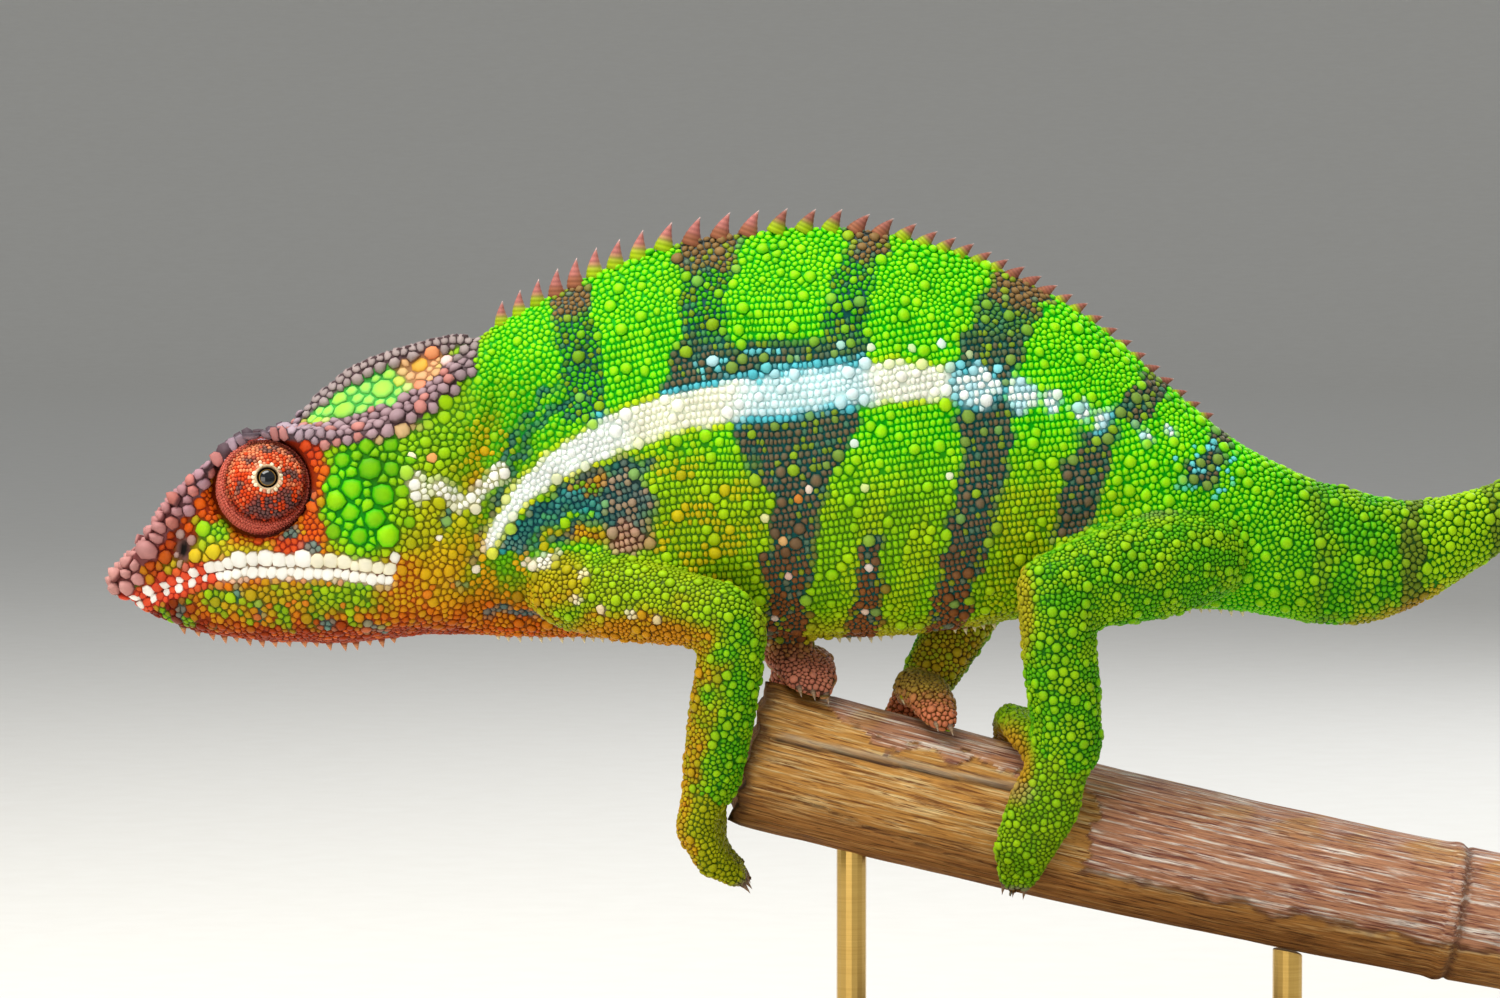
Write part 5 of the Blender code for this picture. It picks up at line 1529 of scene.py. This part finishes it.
def granule_rings(side):
    """Places and diameters of the granules, ring after ring from the opening to the foot of the cone."""
    r = EYE_RADIUS - TURRET_COAT
    angles = [math.asin(2.45 / r)]
    while angles[-1] < 1.75:
        angles.append(angles[-1] + np.interp(angles[-1], *GRANULE_SIZES) * 0.90 / r)
    for t in angles:
        size = float(np.interp(t, *GRANULE_SIZES))
        amount = int(2 * math.pi * r * math.sin(min(t, 1.57)) / size)
        draw.random()  # one draw a ring keeps those after it in their order
        place = (r * math.sin(t), r * math.cos(t)) if t < 1.57 else (r, -r * (t - 1.57))
        yield lathe(side, [place], amount), np.full(amount, size)


def make_turret(side, word):
    points, quads, faces = net_of(side, turret_profile(), AROUND)
    tone, seam = paint_turret(points, side, np.full(len(points), 0.5))
    piece = add_mesh(f"eyelids_{word}", points, faces, KERATIN, {"tone": tone, "seam": seam},
                     {"rise": np.full(len(points), 0.25)})
    belongs(piece, "eyelid", f"eyelid_{word}")
    surface = Surface(points, triangles_of(quads), np.zeros(len(points), int), np.zeros((2 * len(quads), 2)))
    p, sizes = map(np.concatenate, zip(*granule_rings(side)))
    sizes = sizes * draw.normal(1.02, 0.13, len(p)).clip(0.7, 1.35)
    p, faces = surface.nearest(p + draw.normal(0, 0.10, p.shape))
    p, faces = pushed_apart(surface, p, sizes, np.zeros(len(p), bool), 3, lambda *_: (0.0, 0.0))
    normals = surface.normal_at(faces)
    reach, ways = reaches(p, normals, sizes, 7, draw.random(len(p)) * 6.28)
    colours = paint_turret(p, side, draw.random(len(p)))
    middle, axis, ahead, across = eye_frame(side)
    turn = np.arctan2((p - middle) @ across, (p - middle) @ ahead)
    away = 0.2 + np.arccos(np.clip((p - middle) @ axis / EYE_RADIUS, -1, 1))
    flat = 0.5 + 0.18 * away[:, None] * np.c_[np.cos(turn), np.sin(turn)]
    solids = scale_solids("fine", p, normals, reach, ways, sizes * GRANULE_RISE, np.zeros(len(p)),
                          np.zeros((len(p), 3)), flat)
    add_scales(f"granules_{word}", KERATIN, "eyelid", [(solids, *colours)])


for side, word in SIDES.items():
    make_turret(side, word)

# %% [markdown]
# The eyeball is wet: a clear cornea over a black pupil, a thin golden iris ring and a dark blue-black
# surround. The ring is painted by distance from the eye's axis, which each point of the dome carries as a
# value.

# %% Eyeballs
BALL, BALL_RISE, BALL_AT, BALL_FOOT = 1.6, 0.85, 6.9, 6.75  # its radius, its rise, and ways along the axis
IRIS_RINGS = [(0.0, "#04070C"), (1.22, "#060A12"), (1.28, "#8E6A2E"), (1.36, "#B08A44"), (1.42, "#0E0A08")]


def wet_eye():
    """A clear wet cornea: as smooth as glass, so that the light's panels show in it as sharp glints."""
    material, tree, shader = new_material("wet cornea", Roughness=0.04, IOR=1.38, Coat_Weight=1.0,
                                          Coat_Roughness=0.02)
    ramp = add_node(tree, "ValToRGB", Fac=carried(tree, "away", "Fac"))
    set_stops(ramp, [(radius / BALL, colour) for radius, colour in IRIS_RINGS])
    tree.links.new(ramp, shader.inputs["Base Color"])
    return material


WET = wet_eye()
for side, word in SIDES.items():
    angles = np.radians(np.arange(0, 91, 6))
    profile = [(max(BALL * math.sin(t), 0.01), BALL_AT + BALL_RISE * math.cos(t)) for t in angles]
    profile.append((BALL, BALL_FOOT))
    points, _, faces = net_of(side, profile, BALL_AROUND)
    away = np.repeat([radius / BALL for radius, _ in profile], BALL_AROUND)
    ball = add_mesh(f"eyeball_{word}", points, faces, WET, {}, {"away": away})
    belongs(ball, "eye", f"eye_{word}")

# %% [markdown]
# ## Spines and cones
#
# A row of soft spines stands on the ridge of the back, longest over the shoulder. Smaller cones hang from
# the throat in a row, and a line of tiny pale ones runs along the belly. Each is a curved cone with fine
# growth rings, and its foot is sunk in the skin.

# %% Cones
SPINES = [  # along, pitch, height, foot radius
    (66.5, 3.0, 2.8, 1.15), (80, 3.3, 3.6, 1.35), (95, 4.8, 3.6, 1.5), (112, 4.7, 3.2, 1.45),
    (128, 4.0, 2.6, 1.35), (140, 3.0, 2.2, 1.2), (160, 2.6, 1.8, 1.1), (186, 2.2, 1.2, 0.9),
]
CONE_RINGS, CONE_SIDES = 12, 12
SPINE_ROOT = 1.2  # how deep the foot of a spine is sunk in the ridge


def cone(foot, tip, radius, bend):
    """Points and rises of a curved cone; bend moves its middle sideways."""
    foot, tip, bend = (np.array(v, float) for v in (foot, tip, bend))
    up = unit(tip - foot)
    ahead = unit(np.cross(up, np.array([0.0, 1.0, 0.02])))
    across = np.cross(up, ahead)
    angle = 2 * np.pi * np.arange(CONE_SIDES) / CONE_SIDES
    circle = np.cos(angle)[:, None] * ahead + 0.8 * np.sin(angle)[:, None] * across
    points, rises = [], []
    for k in range(CONE_RINGS):
        t = k / CONE_RINGS
        wide = radius * (1 - t ** 1.15) * (1 + 0.06 * (k % 2))
        centre = foot + (tip - foot) * t + bend * 4 * t * (1 - t)
        points.append(centre + wide * circle)
        rises.append(np.full(CONE_SIDES, t))
    return np.concatenate(points + [tip[None]]), np.r_[np.concatenate(rises), 1.0]


def add_cones(name, material, slot, cones, foot_colours, tip_colours):
    """Joins cones into one piece, each shaded from its foot's colour to its tip's."""
    points, rises = zip(*cones)
    size, last = len(points[0]), (CONE_RINGS - 1) * CONE_SIDES
    tips = [(last + (k + 1) % CONE_SIDES, last + k, last + CONE_SIDES) for k in range(CONE_SIDES)]
    faces = face_corners(grid_quads(CONE_RINGS, CONE_SIDES)[:, ::-1], *tips, range(CONE_SIDES))
    rise = np.concatenate(rises)
    foot, tip = (np.repeat(np.zeros((len(cones), 3)) + linear(colours), size, axis=0)
                 for colours in (foot_colours, tip_colours))
    tone = mix(foot, tip, ease(rise, 0.25, 0.6))
    tone = mix(tone, "#F0DCD6", 0.8 * ease(rise, 0.84, 1.0))
    rings = 0.82 + 0.18 * np.cos(rise * CONE_RINGS * np.pi)[:, None]
    piece = add_mesh(name, np.concatenate(points), repeated(faces, len(cones), size), material,
                     {"tone": tone * rings, "seam": tone * 0.8, "crown": tone}, {"rise": 0.45 + 0.3 * rise})
    return belongs(piece, slot)


def spine_places():
    """Along, height and foot radius of each spine; their pitch follows the table."""
    stations, *columns = zip(*SPINES)
    along = stations[0]
    while along < stations[-1]:
        pitch, tall, foot = (float(np.interp(along, stations, column)) for column in columns)
        yield along, tall, foot
        along += pitch


def make_spines():
    cones, feet, tips = [], [], []
    for along, tall, foot in spine_places():
        height = float(np.interp(along, *zip(*RIDGE)))
        slope = float(np.interp(along + 1, *zip(*RIDGE)) - np.interp(along - 1, *zip(*RIDGE))) / 2
        ahead = np.array([1, 0, slope]) / math.hypot(1, slope)
        up = np.array([-ahead[2], 0, ahead[0]])
        base = np.array([along, 0.0, height]) - up * SPINE_ROOT
        tip = base + unit(up + 0.25 * ahead) * (tall + SPINE_ROOT) + ahead * 0.8 * foot
        cones.append(cone(base, tip, 1.28 * foot, ahead * -0.12 * tall))
        at = base[None] + up * SPINE_ROOT
        ground = paint_trunk(at, np.array([0.3]))[0][0]
        feet.append((ground + linear("#D9A81E" if ground[1] > 0.3 else "#C06A54")) / 2)
        tips.append(linear("#C47A72") if along < 110 else linear("#A26456"))
    return add_cones("spines_back", HORN, "skin", cones, feet, tips)


make_spines()


def hanging_cones(name, from_along, to_along, pitch, tall, foot, tip_colour, painter):
    """A row of cones under the body, found by looking up at the skin from below."""
    cones, feet, along, k = [], [], from_along, 0
    while along < to_along:
        size = tall * (0.75 + 0.5 * draw.random())
        hit = SKIN.tree.ray_cast(Vector((along, 0.12 * (-1) ** k, -30.0)), Vector((0, 0, 1)))
        if hit[0] is not None:
            base = np.array(hit[0]) + np.array([0, 0, 0.25])
            cones.append(cone(base, base + np.array([0.25 * size, 0.0, -size - 0.5]), foot, (-0.05, 0, 0)))
            feet.append(painter(base[None], np.array([0.3]))[0][0])
        along += pitch * (0.85 + 0.3 * draw.random())
        k += 1
    return add_cones(name, HORN, "skin", cones, feet, tip_colour)


hanging_cones("cones_throat", 13.0, 50.0, 2.3, 1.30, 0.80, "#E8A070", paint_head)
hanging_cones("cones_belly", 66.0, 192.0, 1.75, 1.05, 0.60, "#EBDDB0", paint_trunk)

# %% [markdown]
# ## Claws
#
# Each toe ends in a short curved claw of grey-brown horn. The ends of the toes are those of the solids:
# each bundle of two or three toes has a last stretch, along which its toes lie side by side.

# %% Claws of the toes
TOES = [  # last but one and last point of the bundle's middle, toes, spread from toe to toe, toe radius
    ((102.2, -11.0, -36.2), (106.2, -9.5, -39.2), 2, (0.5, 2.8, 0.8), 1.9),
    ((102.6, -1.0, -35.4), (106.4, 0.5, -38.8), 3, (0.2, 2.9, 0.5), 1.7),
    ((114.4, 16.2, -19.0), (114.8, 13.4, -26.0), 2, (3.6, 0.0, -0.9), 1.9),
    ((117.4, -1.5, -4.6), (118.6, -6.4, -7.4), 3, (3.5, 0.0, -0.9), 2.0),
    ((153.9, -15.2, -34.0), (152.8, -12.0, -39.2), 3, (2.7, 0.0, -0.6), 1.9),
    ((153.0, 10.2, -16.6), (152.6, 15.0, -25.5), 2, (3.2, 0.0, -0.8), 2.0),
    ((136.6, 16.8, -24.0), (137.2, 13.6, -31.0), 3, (3.3, 0.0, -0.8), 2.0),
    ((138.6, -2.0, -9.8), (140.2, -7.4, -12.8), 2, (3.8, 0.0, -1.0), 2.2),
]
FAN_AT_TIP = 0.65  # the toes of a bundle draw together towards their tips


def make_claws():
    cones = []
    for before, last, toes, spread, radius in TOES:
        before, last, spread = (np.array(v) for v in (before, last, spread))
        ahead = unit(last - before)
        for k in range(toes):
            root = last + spread * (k - (toes - 1) / 2) * FAN_AT_TIP + ahead * radius * 0.35
            tip = root + ahead * (radius * 0.65 + 1.3) + np.array([0, 0, -0.6])
            cones.append(cone(root, tip, 0.68, (0, 0, 0.25)))
    return add_cones("claws", HORN, "skin", cones, "#6E564A", "#A08468")


make_claws()

# %% [markdown]
# ## The cane
#
# The perch is a dry cane as thick as a broom handle. Its bark is stripped off towards the cut end, where
# the long fibres show, and a ragged strip of it is left on top. It could be a tube with a painted bump, but
# a split in wood shows in its outline, so the net is fine enough to press fibres, cracks, the edge of the
# bark and the joint ring into it. Its middle line is read from the solid.

# %% Middle line of the cane
perch = to_body([v.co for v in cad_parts["perch"].data.vertices])
cane_line = np.polyfit(perch[:, 0], perch[:, 2], 2)
cane_from, cane_to = perch[:, 0].min() + 3.0, perch[:, 0].max() - 2.4
CANE_RADIUS = (12.7, 11.4)
BARK_FROM = 58.5  # mm along the cane from the cut end
BARK_DEPTH = 0.35
BARK_LOW = 114.0  # degrees from the top where the bark ends
JOINT_AT = 120.5
CANE_ROWS, CANE_COLUMNS = 300, 144


def cane_middle(way):
    """The middle of the cane and the way it runs, at this length from the cut end."""
    length = np.linspace(0, 1, 400)
    x = cane_from + (cane_to - cane_from) * length
    z = np.polyval(cane_line, x)
    run = np.r_[0, np.cumsum(np.hypot(np.diff(x), np.diff(z)))]
    along = np.interp(way, run, x)
    slope = np.polyval(np.polyder(cane_line), along)
    ahead = np.stack([np.ones_like(slope), 0 * slope, slope], 1) / np.hypot(1, slope)[:, None]
    return np.stack([along, 0 * along, np.polyval(cane_line, along)], 1), ahead, run[-1]


CANE_LENGTH = cane_middle(np.zeros(1))[2]
print("the cane is", CANE_LENGTH.round(1), "mm long")

# %% [markdown]
# Three things shape the cane's surface at each place: how much bark is there, how deep the fibres, splits
# and ring go, and the colour. A place is given by the way along the cane and the angle round it, from the
# top.

# %% Surface of the cane
CRACK = [(2.0, 70.0), (14.0, 68.5), (24.0, 66.0), (45.0, 63.0), (58.0, 62.0)]  # way, degrees from the top
SPLIT = [(9.0, 112.0), (20.0, 121.0), (30.0, 126.0), (44.0, 134.0)]
AROUND_CANE = 12.0  # mm round the cane for one radian
# The third colour of each row, for the underside, is painted shade.
CANE_COLOURS = [  # plain, bleached and stained: the peeled wood, the bark and the underside of both
    ("#C68E44", "#BC8462", "#A67036"), ("#EACC90", "#F2E8DC", "#C69656"), ("#7C4A1E", "#784438", "#5A3414"),
]


def unrolled(way, turn):
    return np.stack([way, AROUND_CANE * turn + 0 * way, 0 * way], 1)


def fibres(way, turn, seed, thin):
    """Streaks along the grain: quick across it and slow along it."""
    round_it = AROUND_CANE * turn
    spots = np.stack([way / 26.0, round_it / thin, 0.6 * np.sin(way / 19.0 + round_it / 6.0)], 1)
    return drift(spots * 5, 5.0, seed)


def bark_cover(way, turn):
    """1 where bark is left: all of the far part, and a ragged strip on the near side of the top."""
    place = unrolled(way, turn)
    ragged = 1.2 * drift(place, 7, 61) + 0.7 * drift(place, 2.5, 62)
    far = ease(way - BARK_FROM + 0.8 * ragged, -0.35, 0.35)
    degrees = np.degrees(turn)
    far = far * ease(BARK_LOW - np.abs(degrees) + 2.5 * ragged, -6, 6)
    low_edge = np.interp(way, [9, 13, 24, 40, 58], [30, 42, 58, 52, 52])
    strip = ease(low_edge - np.abs(degrees + 6) + 5 * ragged, -1.5, 1.5) * ease(way + 2 * ragged, 8, 11)
    return np.maximum(far, strip)


def cane_surface(way, turn):
    """How far the surface lies above the plain round, and its plain, bleached and stained colours, with
    painted shade on the underside and in the joint's dip.
    """
    bark = bark_cover(way, turn)
    streak, fine = fibres(way, turn, 63, 1.6), fibres(way, turn, 64, 0.7)
    wander = 0.9 * drift(unrolled(way, 0), 9, 65)
    crack = np.zeros(len(way))
    for line, wide, strength in ((CRACK, 0.34, 1.0), (SPLIT, 0.26, 0.6)):
        at = np.radians(np.interp(way, *zip(*line)) + wander)
        first, last = line[0][0], line[-1][0]
        within = ease(way, first - 1, first + 2) * ease(way, last + 1, last - 4)
        crack = np.maximum(crack, strength * within * bell((turn - at) * AROUND_CANE, wide))
    crack = np.maximum(crack, 0.7 * bell((turn + 1.4 + 0.003 * way) * AROUND_CANE, 0.3) * (way < 40))
    rise = (bark - 1) * BARK_DEPTH + 0.10 * streak * (1 - 0.4 * bark) + 0.07 * fine - 0.9 * crack
    rise += 0.34 * bell(way - JOINT_AT, 1.3) - 0.40 * bell(way - JOINT_AT - 1.6, 0.5)
    rise -= 0.25 * ease(way, 1.6, 0)
    # The underside of the cane takes the third, darker colours: painted shade under the cane.
    under = ease(np.abs(turn), 1.85, 2.3)
    colours = []
    sunny = ease(drift(unrolled(way, turn), 8, 68), -0.2, 0.5) * ease(turn, 1.2, 0.2)
    for wood, peeled, low in CANE_COLOURS:
        bare = mix(peeled, wood, 0.7 * sunny)
        colours.append(mix(mix(wood, low, under), mix(bare, low, 0.6 * under), bark))
    edge = 0.60 * np.clip(4 * bark * (1 - bark), 0, 1)
    # A dark line is painted in the dip behind the joint's bulge: painted shade.
    ring = 0.65 * bell(way - JOINT_AT - 1.6 + 0.3 * streak, 0.8)
    scorched = 0.75 * ease(way + 0.7 * streak, 2.6, 0.6)
    from_crack = (turn - np.radians(np.interp(way, *zip(*CRACK)) + wander)) * AROUND_CANE
    lip = 0.8 * bell(from_crack + 0.75, 0.4) * ease(way, 2, 6) * ease(way, 58, 50)
    marks = (edge, "#4E2E1C"), (ring, "#54382A"), (scorched, "#5A3A22"), (0.9 * crack, "#33241C")
    for k, colour in enumerate(colours):
        for mark, dark in marks:
            colour = mix(colour, dark, mark)
        colours[k] = mix(colour, "#B4A48C", lip * (1 - crack))
    return rise, colours


def dry_cane():
    """Weathered wood and bark: dull, rough, streaked along the grain, with fine pores."""
    material, tree, shader = new_material("weathered cane", Roughness=0.72, Specular_IOR_Level=0.3)
    tone, pale, deep = (carried(tree, word, "Color") for word in ("tone", "pale", "deep"))
    grain = carried(tree, "grain", "Vector")

    def streaks(scale, detail, start, end, **settings):
        texture = add_node(tree, "TexNoise", Vector=grain, Scale=scale, Detail=detail, Roughness=0.62)
        return texture, add_node(tree, "MapRange", Value=texture, From_Min=start, From_Max=end, **settings)

    pores, shade = streaks(1.0, 5.0, 0.3, 0.7, To_Min=0.66, To_Max=1.22)
    _, bleached = streaks(0.42, 4.0, 0.50, 0.66)
    _, stained = streaks(0.55, 5.0, 0.49, 0.36)
    _, split = streaks(0.9, 3.0, 0.40, 0.34)
    colour = tone
    for amount, over in ((bleached, pale), (stained, deep), (split, deep)):
        colour = add_node(tree, "Mix", COLOURS, 2, in_0=amount, in_6=colour, in_7=over)
    lit = add_node(tree, "VectorMath", {"operation": "SCALE"}, in_0=colour, Scale=shade)
    finish_with(tree, shader, lit, pores, 0.22, 0.9)
    return material


PORE_LONG, PORE_WIDE = 5.0, 0.27  # mm along and across the grain
END_RINGS = (0.86, 0.35), (0.62, 0.9), (0.36, 1.5), (0.12, 1.7), (0.01, 1.75)  # share of the radius, depth
END_COLOURS = "#94683C", "#B08A58", "#5A3A20"


def cane_side():
    """The points of the cane's side, the radius and the way ahead at each, and their three colours."""
    turns = 2 * np.pi * np.arange(CANE_COLUMNS) / CANE_COLUMNS - np.pi
    way, turn = (v.ravel() for v in np.meshgrid(np.linspace(0, CANE_LENGTH, CANE_ROWS), turns, indexing="ij"))
    rise, colours = cane_surface(way, turn)
    middle, ahead, _ = cane_middle(way)
    up = np.stack([-ahead[:, 2], 0 * way, ahead[:, 0]], 1)
    radius = CANE_RADIUS[0] + (CANE_RADIUS[1] - CANE_RADIUS[0]) * way / CANE_LENGTH + rise
    jagged = 0.5 * drift(np.stack([0 * way, 9 * np.cos(turn), 9 * np.sin(turn)], 1), 4.0, 66)
    ends = ease(way, 6, 0) - ease(way, CANE_LENGTH - 4, CANE_LENGTH)
    outward = np.array([0, -1.0, 0]) * np.sin(turn)[:, None] + up * np.cos(turn)[:, None]
    points = middle + outward * radius[:, None] + ahead * (jagged * ends)[:, None]
    across = radius / PORE_WIDE
    pores = np.stack([way / PORE_LONG, across * np.cos(turn), across * np.sin(turn)], 1)
    return points, middle, ahead, colours, pores


def make_cane():
    """The side of the cane, and at each end rings that sink into a pitted hollow, with painted shade growing
    as they sink.
    """
    points, middle, ahead, colours, pores = cane_side()
    columns = np.arange(CANE_COLUMNS)
    all_points, all_pores, base = [points], [pores], len(points)
    colours, quads, caps = [[colour] for colour in colours], [grid_quads(CANE_ROWS, CANE_COLUMNS)], []
    for end, sign in ((0, 1), (CANE_ROWS - 1, -1)):
        previous = rim = end * CANE_COLUMNS + columns
        for share, depth in END_RINGS:
            ring = middle[rim] + (points[rim] - middle[rim]) * share + ahead[rim] * sign * depth
            ring = ring + ahead[rim] * sign * 0.35 * drift(ring * 3, 2.2, 67)[:, None]
            here = base + columns
            quads.append(np.stack([previous, np.roll(previous, -1), np.roll(here, -1), here], 1)[:, ::-sign])
            all_points.append(ring)
            # The end grain is painted darker the deeper its ring lies in the hollow: painted shade.
            for colour, bare in zip(colours, END_COLOURS):
                colour.append(np.tile(mix(bare, "#33200F", 0.12 + 0.5 * (1 - share)), (CANE_COLUMNS, 1)))
            all_pores.append(ring * np.array([0, 1, 1]) / PORE_WIDE)
            previous = here
            base += CANE_COLUMNS
        caps.append(previous[::-sign])
    piece = add_mesh("cane", np.concatenate(all_points), face_corners(np.concatenate(quads)[:, ::-1], *caps),
                     dry_cane(), dict(zip(("tone", "pale", "deep"), map(np.concatenate, colours))))
    layer = piece.data.attributes.new("grain", "FLOAT_VECTOR", "POINT")
    layer.data.foreach_set("vector", np.concatenate(all_pores).astype(np.float32).ravel())
    return belongs(piece, "cane", "perch")


make_cane()

# %% [markdown]
# ## The stand
#
# The display stand is a plate of oiled walnut with eased edges and two turned brass rods. Their solids
# already have the right shape, so they stay, and only get their finishes.

# %% Walnut and brass
def oiled_walnut():
    """Oiled walnut: growth rings about 2 mm apart, long pores, and a low even gloss."""
    material, tree, shader = new_material("oiled walnut", Roughness=0.42, Coat_Weight=0.15,
                                          Coat_Roughness=0.3)
    place = add_node(tree, "TexCoord", out="Object")
    stretched = add_node(tree, "Mapping", Vector=place, Scale=(0.12, 1.0, 1.0))
    rings = add_node(tree, "TexWave", {"bands_direction": "Y"}, "Fac", Vector=stretched, Scale=130.0,
                     Distortion=5.0, Detail=3.0, Detail_Scale=0.6)
    pores = add_node(tree, "TexNoise", Vector=stretched, Scale=2400.0, Detail=4.0)
    ramp = add_node(tree, "ValToRGB", Fac=rings)
    set_stops(ramp, [(0, "#4A2E1C"), (1, "#7A5232")])
    shade = add_node(tree, "MapRange", Value=pores, From_Min=0.35, From_Max=0.65, To_Min=0.7, To_Max=1.1)
    lit = add_node(tree, "VectorMath", {"operation": "SCALE"}, in_0=ramp, Scale=shade)
    finish_with(tree, shader, lit, pores, 0.05, 0.5)
    return material


def turned_brass():
    """Lacquered brass, turned: a warm metal with faint rings 0.3 mm apart round the rod."""
    material, tree, shader = new_material("turned brass", Metallic=1.0, Roughness=0.28)
    place = add_node(tree, "TexCoord", out="Object")
    flat = add_node(tree, "Mapping", Vector=place, Scale=(60.0, 60.0, 1 / (0.3 * MM)))
    marks = add_node(tree, "TexNoise", Vector=flat, Scale=1.0, Detail=2.0)
    ramp = add_node(tree, "ValToRGB", Fac=marks)
    set_stops(ramp, [(0, "#B8924A"), (1, "#D9B66A")])
    finish_with(tree, shader, ramp, marks, 0.02, 0.4)
    return material


def finish_node(node, material):
    """Gives a solid that stays its finish, in its own material slot."""
    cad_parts[node].data.materials[0] = material
    print(f"{node} is finished in {material.name}")


finish_node("stand_base", oiled_walnut())
brass = turned_brass()
for rod in ("stand_rod_1", "stand_rod_2"):
    finish_node(rod, brass)

# %% [markdown]
# ## Stage, light and camera
#
# The stage is a plain pale floor that bends up into a low pale wall all round, like a studio's round cove,
# so the model can be looked at from every side. The light is that of a studio with a large soft box
# overhead and weaker ones in front and behind, and the world gives a pale fill.

# %% Stage
STAGE_RADIUS, STAGE_BEND, STAGE_TOP, STAGE_SIDES = 3.4, 0.8, 1.6, 64


def stage_sheet():
    """A round floor that bends up into a wall, far larger than the model."""
    turns = np.radians(np.arange(9, 91, 9))
    profile = [(STAGE_RADIUS, 0.0)]
    profile += [(STAGE_RADIUS + STAGE_BEND * math.sin(t), STAGE_BEND * (1 - math.cos(t))) for t in turns]
    profile += [(STAGE_RADIUS + STAGE_BEND, STAGE_TOP)]
    around = np.arange(STAGE_SIDES) * 2 * math.pi / STAGE_SIDES
    points = [(r * math.cos(a), r * math.sin(a), z) for r, z in profile for a in around]
    faces = [range(STAGE_SIDES)] + grid_quads(len(profile), STAGE_SIDES)[:, ::-1].tolist()
    mesh = bpy.data.meshes.new("stage_sheet")
    mesh.from_pydata(points, [], faces)
    mesh.polygons.foreach_set("use_smooth", [True] * len(faces))
    sheet = bpy.data.objects.new("stage_sheet", mesh)
    bpy.context.scene.collection.objects.link(sheet)
    return sheet


paper, tree, shader = new_material("matt background paper", Roughness=0.9, Specular_IOR_Level=0.2)
fibre = add_node(tree, "TexNoise", Scale=900.0, Detail=4.0)
shade = add_node(tree, "Mix", COLOURS, 2, in_0=fibre, in_6=rgba("#E4E1DA"), in_7=rgba("#EAE8E2"))
tree.links.new(shade, shader.inputs["Base Color"])
sheet = stage_sheet()
sheet.data.materials.append(paper)

# %% Light
world = bpy.data.worlds.new("studio")
bpy.context.scene.world = world
world.use_nodes = True
world.node_tree.nodes["Background"].inputs["Color"].default_value = rgba("#E9EDF2")
world.node_tree.nodes["Background"].inputs["Strength"].default_value = 0.40
bpy.context.scene.view_settings.view_transform = "Standard"


def soft_box(name, place, aim, size, power, colour):
    light = bpy.data.lights.new(name, "AREA")
    light.shape, light.size, light.size_y = "RECTANGLE", *size
    light.energy, light.color = power, linear(colour)
    lamp = bpy.data.objects.new(name, light)
    lamp.location = place
    lamp.rotation_euler = (Vector(aim) - Vector(place)).to_track_quat("-Z", "Y").to_euler()
    bpy.context.scene.collection.objects.link(lamp)


low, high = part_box("belly")
middle = (low + high) / 2
soft_box("sky panel", middle + Vector((-0.25, -0.15, 0.75)), middle, (0.7, 0.6), 9.0, "#FFFDF8")
soft_box("front panel", middle + Vector((-0.45, -0.8, 0.15)), middle, (0.6, 0.5), 2.4, "#FFF8F0")
soft_box("back panel", middle + Vector((0.5, 0.7, 0.5)), middle, (0.6, 0.5), 4.0, "#F4F8FF")

# %% [markdown]
# The camera stands level with the animal's flank, 1.2 m away and 3 degrees above it, with a long lens.

# %% Camera
VIEW_WIDTH = 0.252  # metres across the picture at the animal
CAMERA_DISTANCE = 1.2
CAMERA_RAISED = math.radians(3)
target = Vector(to_row((108.4, 0.0, 23.7)))
camera = bpy.data.cameras.new("camera")
camera.sensor_width = 36.0
camera.lens = camera.sensor_width * CAMERA_DISTANCE / VIEW_WIDTH
eye_point = bpy.data.objects.new("camera", camera)
back = Vector((0, -math.cos(CAMERA_RAISED), math.sin(CAMERA_RAISED)))
eye_point.location = target + back * CAMERA_DISTANCE
eye_point.rotation_euler = (-back).to_track_quat("-Z", "Y").to_euler()
bpy.context.scene.collection.objects.link(eye_point)
bpy.context.scene.camera = eye_point
